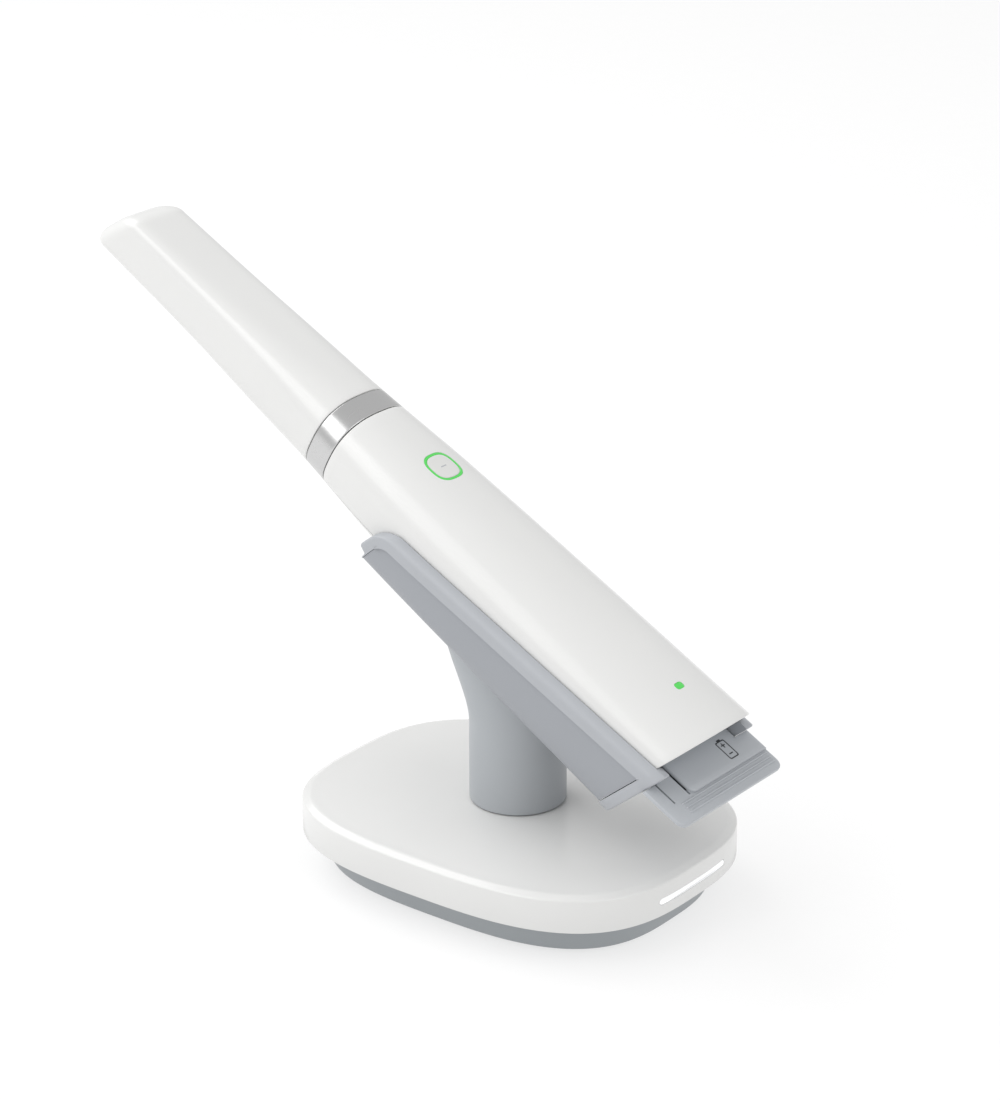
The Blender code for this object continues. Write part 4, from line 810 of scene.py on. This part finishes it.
def build_sign(mats):
    """Generic battery sign: a case outline with its knob, a plus and a minus."""
    ink = mats["dark_plastic"]
    case = rounded_rect(*SIGN_HALF, SIGN_CORNER)
    hollow = rounded_rect(SIGN_HALF[0] - SIGN_LINE, SIGN_HALF[1] - SIGN_LINE, SIGN_CORNER - SIGN_LINE / 2)
    line, reach = SIGN_LINE / 2, SIGN_MARK_HALF
    knob = rounded_rect(*SIGN_KNOB_HALF, SIGN_KNOB_CORNER)
    plus = [(reach, line), (line, line), (line, reach), (-line, reach), (-line, line), (-reach, line),
            (-reach, -line), (-line, -line), (-line, -reach), (line, -reach), (line, -line), (reach, -line)]
    minus = [(line, reach), (-line, reach), (-line, -reach), (line, -reach)]
    pieces = [sign_piece("sign_case", case, hollow, ink),
              sign_piece("sign_knob", shifted(knob, -SIGN_HALF[0] - SIGN_KNOB_REACH), None, ink),
              sign_piece("sign_plus", shifted(plus, -SIGN_MARK_PLACE), None, ink),
              sign_piece("sign_minus", shifted(minus, SIGN_MARK_PLACE), None, ink)]
    for piece in pieces:
        dress(piece, PACK, "dark_plastic")


def build_plug(mat):
    """Part of the grip that sits inside the handle's tail."""
    rear = TAIL_END - PLUG_SETBACK
    places = [(rear - PLUG_LENGTH, 0.0)] + list(reversed(rounded_end(rear, -1)))
    rings = [form_ring(x, SHELL_WALL + SLIDE_GAP + inset, CUT_SLOPE) for x, inset in places]
    return add_object("grip_plug", skin(rings, placing=PLACING), mat)


def build_neck(mat):
    rear = TAIL_END - PLUG_SETBACK
    top = PLATEAU_TOP - NECK_TUCK
    low_corner, high_corner = [(rear - NECK_SINK + CUT_SLOPE * z, z) for z in (NECK_BOTTOM, top)]
    profile = [low_corner, (rear + NECK_REACH, NECK_BOTTOM), (rear + NECK_REACH, top), high_corner]
    rings = [[(x, y, z) for x, z in profile] for y in (NECK_TUCK - PLATEAU_NEAR, NECK_HALF_WIDTH)]
    neck = add_object("grip_neck", skin(rings, placing=PLACING), mat)
    soften_edges(neck, NECK_EDGE)
    return neck


def release_slit(number, mat):
    y = -PLATEAU_NEAR - SLIT_WIDTH - SLIT_SPACING * (number - 1)
    start = TAIL_END - FLANGE_LENGTH
    outline = [(start, y), (SLIT_END, y), (SLIT_END, y + SLIT_WIDTH), (start, y + SLIT_WIDTH)]
    rings = [ring_at(outline, level) for level in (GRIP_TOP - SLIT_DEPTH, GRIP_TOP + GRIP_EDGE)]
    return add_object(f"release_slit_{number}", skin(rings, placing=PLACING), mat)


def build_plate(mat):
    levels = [(GRIP_TOP - GRIP_THICKNESS, GRIP_UNDERCUT), (GRIP_TOP - GRIP_EDGE, 0.0)]
    levels += [(GRIP_TOP - drop, inset) for inset, drop in quarter_round(GRIP_ROUND, GRIP_ROUND_RINGS)]
    rings = [ring_at(grip_outline(level, inset), level) for level, inset in levels]
    plate = add_object("grip_plate", skin(rings, placing=PLACING), mat)
    combine(plate, [release_slit(number, mat) for number in (1, 2)], "DIFFERENCE")
    return plate


def build_grip(mats):
    grey = mats["grip_plastic"]
    plug = build_plug(grey)
    for item in (build_neck(grey), build_plate(grey), build_plateau(grey), *build_grip_ribs(grey)):
        dress(item, PACK, "grip_plastic", sharp=32.0)
    dress(plug, PACK, "grip_plastic", "battery_grip")
    build_sign(mats)


# Cradle

def corner_drop(distance, radius):
    """How far a rounded corner lies below its top line at a distance from its end."""
    reach = max(radius - max(distance, 0.0), 0.0)
    return radius - math.sqrt(radius**2 - reach**2)


def rim_level(along):
    return section_at(along).widest - corner_drop(along - CRADLE_NOSE, NOSE_RADIUS)


def panel_front():
    return CRADLE_NOSE + NOSE_LENGTH


def seam_level(along):
    """Lower edge of the tray's outer wall, where the housing panel begins; its corners are rounded."""
    drop = corner_drop(along - panel_front(), PANEL_FRONT_RADIUS)
    drop += corner_drop(TAIL_END - along, PANEL_REAR_RADIUS)
    return section_at(along).widest - RIM_ROUND / 2 - RIM_HEIGHT - drop


def belly_level(along):
    share = (along - CRADLE_FRONT) / (TAIL_END - CRADLE_FRONT)
    return BELLY_FRONT + (BELLY_TAIL - BELLY_FRONT) * share


def housing_point(along, angle, inset):
    """Point of the cradle housing's skin, in the leaning plane through `along`."""
    x = along
    for _ in range(HOUSING_ROUNDS):
        s = section_at(x)
        half_width = s.half_width + SLIDE_GAP + RIM_WIDTH - HOUSING_STEP - inset
        depth = s.widest - belly_level(x) - inset
        y, z = power_point(half_width, depth, HOUSING_POWER, angle)
        z += s.widest
        x = along + CUT_SLOPE * z
    return x, y, z


def housing_angle(along, level, inset):
    low, high = -math.pi / 2, 0.0
    for _ in range(HALVINGS):
        mid = (low + high) / 2
        if housing_point(along, mid, inset)[2] < level:
            low = mid
        else:
            high = mid
    return (low + high) / 2


def housing_arc(along, level, inset, count):
    start = housing_angle(along, level, inset)
    return [housing_point(along, angle, inset) for angle in steps(start, -math.pi - start, count)]


def mirrored(points):
    return [(x, -y, z) for x, y, z in reversed(points)]


def rim_arc(y, z, drawn_in, fall):
    """Rim's section from its inner lip outwards: a small lip, a gentle slope, then a rounder shoulder."""
    lip_y, lip_z = RIM_LIP_SHARES
    points = [(y, z), (y + lip_y * RIM_LIP, z + lip_z * RIM_LIP), (y + RIM_LIP, z + RIM_LIP)]
    for radius, low, high in zip(RIM_RADII, RIM_TILTS, RIM_TILTS[1:]):
        y0, z0 = points[-1]
        for turn in steps(low, high, RIM_ARC_POINTS)[1:]:
            points.append((y0 + radius * (math.sin(turn) - math.sin(low)),
                           z0 + fall * radius * (math.cos(turn) - math.cos(low))))
    return [(y + (a - y) * (1.0 - drawn_in / RIM_WIDTH), b) for a, b in points]


def outer_arc(along, under, flange, inset):
    """Tray's outside below its rims: the flange round the housing's ends, or the liner inside the housing."""
    if flange:
        return housing_arc(along, under, inset, CRADLE_POINTS)
    liner = -SLIDE_GAP - LINER_WALL
    angle = angle_at_level(along, under, liner, CUT_SLOPE)
    return arc_points(along, angle, -math.pi - angle, CRADLE_POINTS, liner, CUT_SLOPE)


def tray_profile(along, flange, drawn_in=0.0, lip=0.0, proud=HOUSING_STEP):
    """Closed outline of the tray: seat or inner lip, rounded rims, and the liner or flange outside."""
    level = rim_level(along) - drawn_in - RIM_LIP
    start, inner = [angle_at_level(along, level, inset - SLIDE_GAP / 2, CUT_SLOPE) for inset in (0.0, lip)]
    x, y, z = form_point(along, start, -SLIDE_GAP / 2, CUT_SLOPE)
    seat = arc_points(along, inner, -math.pi - inner, CRADLE_POINTS, lip - SLIDE_GAP / 2, CUT_SLOPE)
    steepness = 1.0 - (1.0 - NOSE_FALL) * smooth((CRADLE_NOSE - along) / NOSE_RADIUS + 1.0)
    roll = [(x + CUT_SLOPE * (b - z), a, b) for a, b in rim_arc(y, z, drawn_in, steepness)[1:]]
    side_y, side_z = roll[-1][1:]
    under = min(seam_level(along), side_z - RIM_LIP)
    fall = (side_z - under) * (0.5 if flange else 1.0)
    side = roll + [(x + CUT_SLOPE * (side_z - fall - z), side_y, side_z - fall)]
    outside = outer_arc(along, under, flange, drawn_in - proud)
    return side + outside + mirrored(side) + list(reversed(seat))


def nose_profile(share, drawn_in):
    """Section of the tray's nose, which thins out under its chin: share runs from its front to the panel."""
    front, rear = CRADLE_NOSE, panel_front()
    points = []
    for x, y, z in tray_profile(front + (rear - front) * share, True, drawn_in, proud=HOUSING_STEP / 2):
        chin = smooth((NOSE_CHIN + NOSE_CHIN_RISE - z) / NOSE_CHIN_RISE)
        local_front = front + (rear - NOSE_CHIN_WALL - front) * chin
        points.append((local_front + (rear - local_front) * share + CUT_SLOPE * z, y, z))
    return points


def nose_rings():
    rings = []
    for turn in steps(NOSE_FIRST_TURN, math.pi / 2, NOSE_ROUND_RINGS):
        reach = NOSE_ROUND * (1.0 - math.cos(turn)) / NOSE_LENGTH
        rings.append(nose_profile(reach, NOSE_ROUND * (1.0 - math.sin(turn))))
    shares = steps(NOSE_ROUND / NOSE_LENGTH, 1.0, NOSE_RINGS)[1:]
    return rings + [nose_profile(share, 0.0) for share in shares]


def flange_rings():
    """Rear flange: a step up from the liner, the inward lip behind the handle's tail, a rounded end."""
    rings = [tray_profile(x, True) for x in (TAIL_END, TAIL_END + GAP)]
    places = [(TAIL_END + GAP + FLANGE_DRAFT, 0.0)]
    places += reversed(rounded_end(TAIL_END + FLANGE_LENGTH, -1, FLANGE_END_ROUND))
    return rings + [tray_profile(x, True, inset, FLANGE_LIP) for x, inset in places]


def cradle_places():
    """Stations of the liner and of the panel, closer together where the panel's corners are round."""
    turns = steps(0.0, math.pi / 2, PANEL_CORNER_RINGS)
    front, rear = panel_front() + FLANGE_DRAFT, TAIL_END - FLANGE_DRAFT
    places = [front + PANEL_FRONT_RADIUS * (1.0 - math.cos(turn)) for turn in turns]
    places += steps(places[-1], rear - PANEL_REAR_RADIUS, CRADLE_STATIONS)[1:]
    return places + [rear - PANEL_REAR_RADIUS * math.cos(turn) for turn in turns[2::PANEL_REAR_STEP]]


def build_cradle(mats):
    places = cradle_places()
    rings = nose_rings() + [tray_profile(x, False) for x in places] + flange_rings()
    tray = add_object("cradle_seat", skin(rings, placing=PLACING), mats["cradle_rim_plastic"])
    dress(tray, STAND, "cradle_rim_plastic", "cradle_tray", sharp=50.0)

    rings = []
    for x in [panel_front() + GAP] + places[1:-1] + [TAIL_END - GAP]:
        top = seam_level(x) - GAP
        outside, inside = [housing_arc(x, top, inset, CRADLE_POINTS) for inset in (0.0, HOUSING_WALL)]
        rings.append(outside + list(reversed(inside)))
    panel = add_object("cradle_panel", skin(rings, placing=PLACING), mats["cradle_panel_plastic"])
    dress(panel, STAND, "cradle_panel_plastic", "cradle_housing")


# Stem and base

def stem_ring(share, inset):
    """Ring between the round foot on the base and the oval head under the cradle."""
    ease = smooth((share - STEM_FLARE_START) / (1.0 - STEM_FLARE_START))
    points = []
    for k in range(STEM_POINTS):
        c, s = math.cos(2 * math.pi * k / STEM_POINTS), math.sin(2 * math.pi * k / STEM_POINTS)
        foot = Vector(((STEM_FOOT_RADIUS - inset) * c, (STEM_FOOT_RADIUS - inset) * s, BASE_TOP + GAP))
        x = STEM_HEAD_CENTRE + (STEM_HEAD_HALF_LENGTH - inset) * c
        head = PLACING @ Vector((x, (STEM_HEAD_HALF_WIDTH - inset) * s, belly_level(x) - GAP))
        level = foot.z + (head.z - foot.z) * share
        column = Vector((foot.x, foot.y, level))
        points.append(column.lerp(Vector((head.x, head.y, level)), ease))
    return points


def build_stem(mats):
    outer = [stem_ring(0.0, STEM_FOOT_EDGE), stem_ring(STEM_FOOT_SHARE, 0.0)]
    outer += [stem_ring(share, 0.0) for share in steps(STEM_FIRST_SHARE, 1.0, STEM_RINGS)]
    stem = add_object("stem_column", skin(outer), mats["stem_plastic"])
    dress(stem, STAND, "stem_plastic", "stem")


def pan_inset(level):
    share = (level - PAN_BOTTOM) / (COVER_BOTTOM - GAP - PAN_BOTTOM)
    return PAN_RIM_INSET + (PAN_FOOT_INSET - PAN_RIM_INSET) * (1.0 - share) ** PAN_BULGE


def cover_edge():
    """Insets and heights from the cover's side over its crisp edge and along the soft roll behind it."""
    crease = BASE_EDGE_HEIGHT - COVER_ROLL_DROP - COVER_CREASE
    edge = [(COVER_CREASE * (1 - math.cos(turn)), crease + COVER_CREASE * math.sin(turn))
            for turn in steps(0.0, COVER_CREASE_TURN, COVER_EDGE_RINGS)]
    roll = [(COVER_CREASE + (COVER_ROLL - COVER_CREASE) * share,
             BASE_EDGE_HEIGHT - COVER_ROLL_DROP * (1 - share)**2)
            for share in steps(COVER_ROLL_START, 1.0, COVER_ROLL_RINGS)]
    return edge + roll


def build_cover(mats):
    white = mats["white_plastic"]
    flat = BASE_HALF_WIDTH - STEM_FOOT_RADIUS - CROWN_FLAT_MARGIN
    profile = []
    for inset in steps(flat, COVER_ROLL, CROWN_RINGS)[:-1]:
        share = (inset - COVER_ROLL) / (flat - COVER_ROLL)
        profile.append((inset, BASE_EDGE_HEIGHT + BASE_CROWN * math.sin(math.pi / 2 * share)))
    profile += reversed(cover_edge())
    profile += [(inset, COVER_BOTTOM + rise) for inset, rise in COVER_FOOT]
    ledge = PAN_RIM_INSET + PAN_WALL
    profile += [(ledge, COVER_BOTTOM), (ledge, COVER_BOTTOM + COVER_LEDGE),
                (COVER_WALL, COVER_BOTTOM + ledge - COVER_WALL),
                (COVER_WALL, BASE_EDGE_HEIGHT - 2 * COVER_WALL), (flat, BASE_TOP - COVER_WALL)]
    rings = [ring_at(base_outline(inset), z) for inset, z in profile]
    cover = add_object("base_shell", skin(rings), white)
    cutter = bar_rings(GAP, -LIGHT_SLOT_MARGIN, COVER_WALL + LIGHT_SLOT_MARGIN)
    combine(cover, [add_object("light_bar_slot", skin(cutter), white)], "DIFFERENCE")
    dress(cover, STAND, "white_plastic", "base_cover")


def build_light_strip(mats):
    rings = bar_rings(0.0, LIGHT_BAR_SUNK, LIGHT_BAR_DEPTH)
    lamp = add_object("light_strip", skin(rings), mats["white_light"])
    dress(lamp, STAND, "white_light", "light_bar")


def build_pan(mats):
    top = COVER_BOTTOM - GAP
    chamfer_inset, chamfer_rise = PAN_FOOT_CHAMFER
    outside = [(PAN_FOOT_INSET + chamfer_inset, PAN_BOTTOM)]
    outside += [(pan_inset(z), z) for z in steps(PAN_BOTTOM + chamfer_rise, top, PAN_OUTER_RINGS)]
    inside = [(pan_inset(z) + PAN_WALL, z) for z in steps(top, PAN_BOTTOM + PAN_FLOOR, PAN_INNER_RINGS)]
    rings = [ring_at(base_outline(inset), z) for inset, z in outside + inside]
    pan = add_object("base_bowl", skin(rings), mats["pan_plastic"])
    dress(pan, STAND, "pan_plastic", "base_pan")


def edge_x(y, inset):
    share = abs(y) / (BASE_HALF_WIDTH - inset)
    return (BASE_HALF_LENGTH - inset) * (1 - share**BASE_POWER) ** (1 / BASE_POWER)


def bar_rings(grow, near, far):
    """Rounded strip of the base's wall, as rings from its outer face to its inner one."""
    half_height = LIGHT_BAR_HEIGHT / 2 + grow
    outline = rounded_rect(LIGHT_BAR_HALF + grow, half_height, half_height - LIGHT_BAR_END_FLAT,
                           LIGHT_BAR_END_POINTS)
    fine = []
    for (y, z), (next_y, next_z) in zip(outline, outline[1:] + outline[:1]):
        pieces = LIGHT_BAR_PIECES if abs(next_y - y) > LIGHT_BAR_LONG_SIDE else 1
        fine += [(y + (next_y - y) * k / pieces, z + (next_z - z) * k / pieces) for k in range(pieces)]
    return [[(edge_x(y, inset), y, LIGHT_BAR_LEVEL + z) for y, z in fine] for inset in (near, far)]


# Camera, floor and light

def build_camera():
    data = bpy.data.cameras.new("camera")
    data.sensor_width = 36.0
    data.lens = CAMERA_LENS
    data.clip_start, data.clip_end = 0.01, 20.0
    camera = bpy.data.objects.new("camera", data)
    back = direction(CAMERA_AZIMUTH, CAMERA_ELEVATION)
    turn = Matrix.Rotation(CAMERA_ROLL, 4, back)
    right = turn @ Vector((0.0, 0.0, 1.0)).cross(back).normalized()
    up = back.cross(right)
    facing = Matrix((right, up, back)).transposed().to_4x4()
    camera.matrix_world = Matrix.Translation(CAMERA_PLACE) @ facing
    bpy.context.scene.collection.objects.link(camera)
    bpy.context.scene.camera = camera


def build_floor():
    bm = bmesh.new()
    bmesh.ops.create_grid(bm, x_segments=2, y_segments=2, size=FLOOR_HALF_SIZE)
    mat = finish_material("floor_paper", (0.28, 0.28, 0.28), 0.8, grain=0.02, grain_size=1.5 * MM,
                          drift=0.004)
    shader = mat.node_tree.nodes["Principled BSDF"]
    shader.inputs["Emission Color"].default_value = (1.0, 1.0, 1.0, 1.0)
    shader.inputs["Emission Strength"].default_value = FLOOR_GLOW
    add_object("floor", bm, mat)


def direction(azimuth, elevation):
    """Unit vector towards a direction round the object: azimuth 0 is in front, 90 at +x."""
    return Vector((math.sin(azimuth) * math.cos(elevation), -math.cos(azimuth) * math.cos(elevation),
                   math.sin(elevation)))


def softbox(name, azimuth, elevation, size, power):
    """Soft area light that faces the object."""
    data = bpy.data.lights.new(name, "AREA")
    data.shape = "RECTANGLE"
    data.size, data.size_y = size
    data.energy = power
    light = bpy.data.objects.new(name, data)
    away = direction(math.radians(azimuth), math.radians(elevation))
    light.location = Vector(LIGHT_TARGET) + away * LIGHT_DISTANCE
    light.rotation_euler = away.to_track_quat("Z", "Y").to_euler()
    bpy.context.scene.collection.objects.link(light)


def build_light():
    scene = bpy.context.scene
    scene.view_settings.view_transform = "Standard"
    world = bpy.data.worlds.new("studio")
    world.use_nodes = True
    background = world.node_tree.nodes["Background"]
    background.inputs["Color"].default_value = (1.0, 1.0, 1.0, 1.0)
    background.inputs["Strength"].default_value = WORLD_STRENGTH
    scene.world = world
    for box in SOFTBOXES:
        softbox(*box)


def main():
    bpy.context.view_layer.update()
    mats = make_materials()
    repaint_nodes(mats)
    build_tip(mats)
    build_trim_ring(mats)
    build_handle(mats)
    build_light_ring(mats)
    build_button(mats)
    build_status_lamp(mats)
    build_grip(mats)
    build_cradle(mats)
    build_stem(mats)
    build_cover(mats)
    build_light_strip(mats)
    build_pan(mats)
    build_camera()
    build_floor()
    build_light()


main()
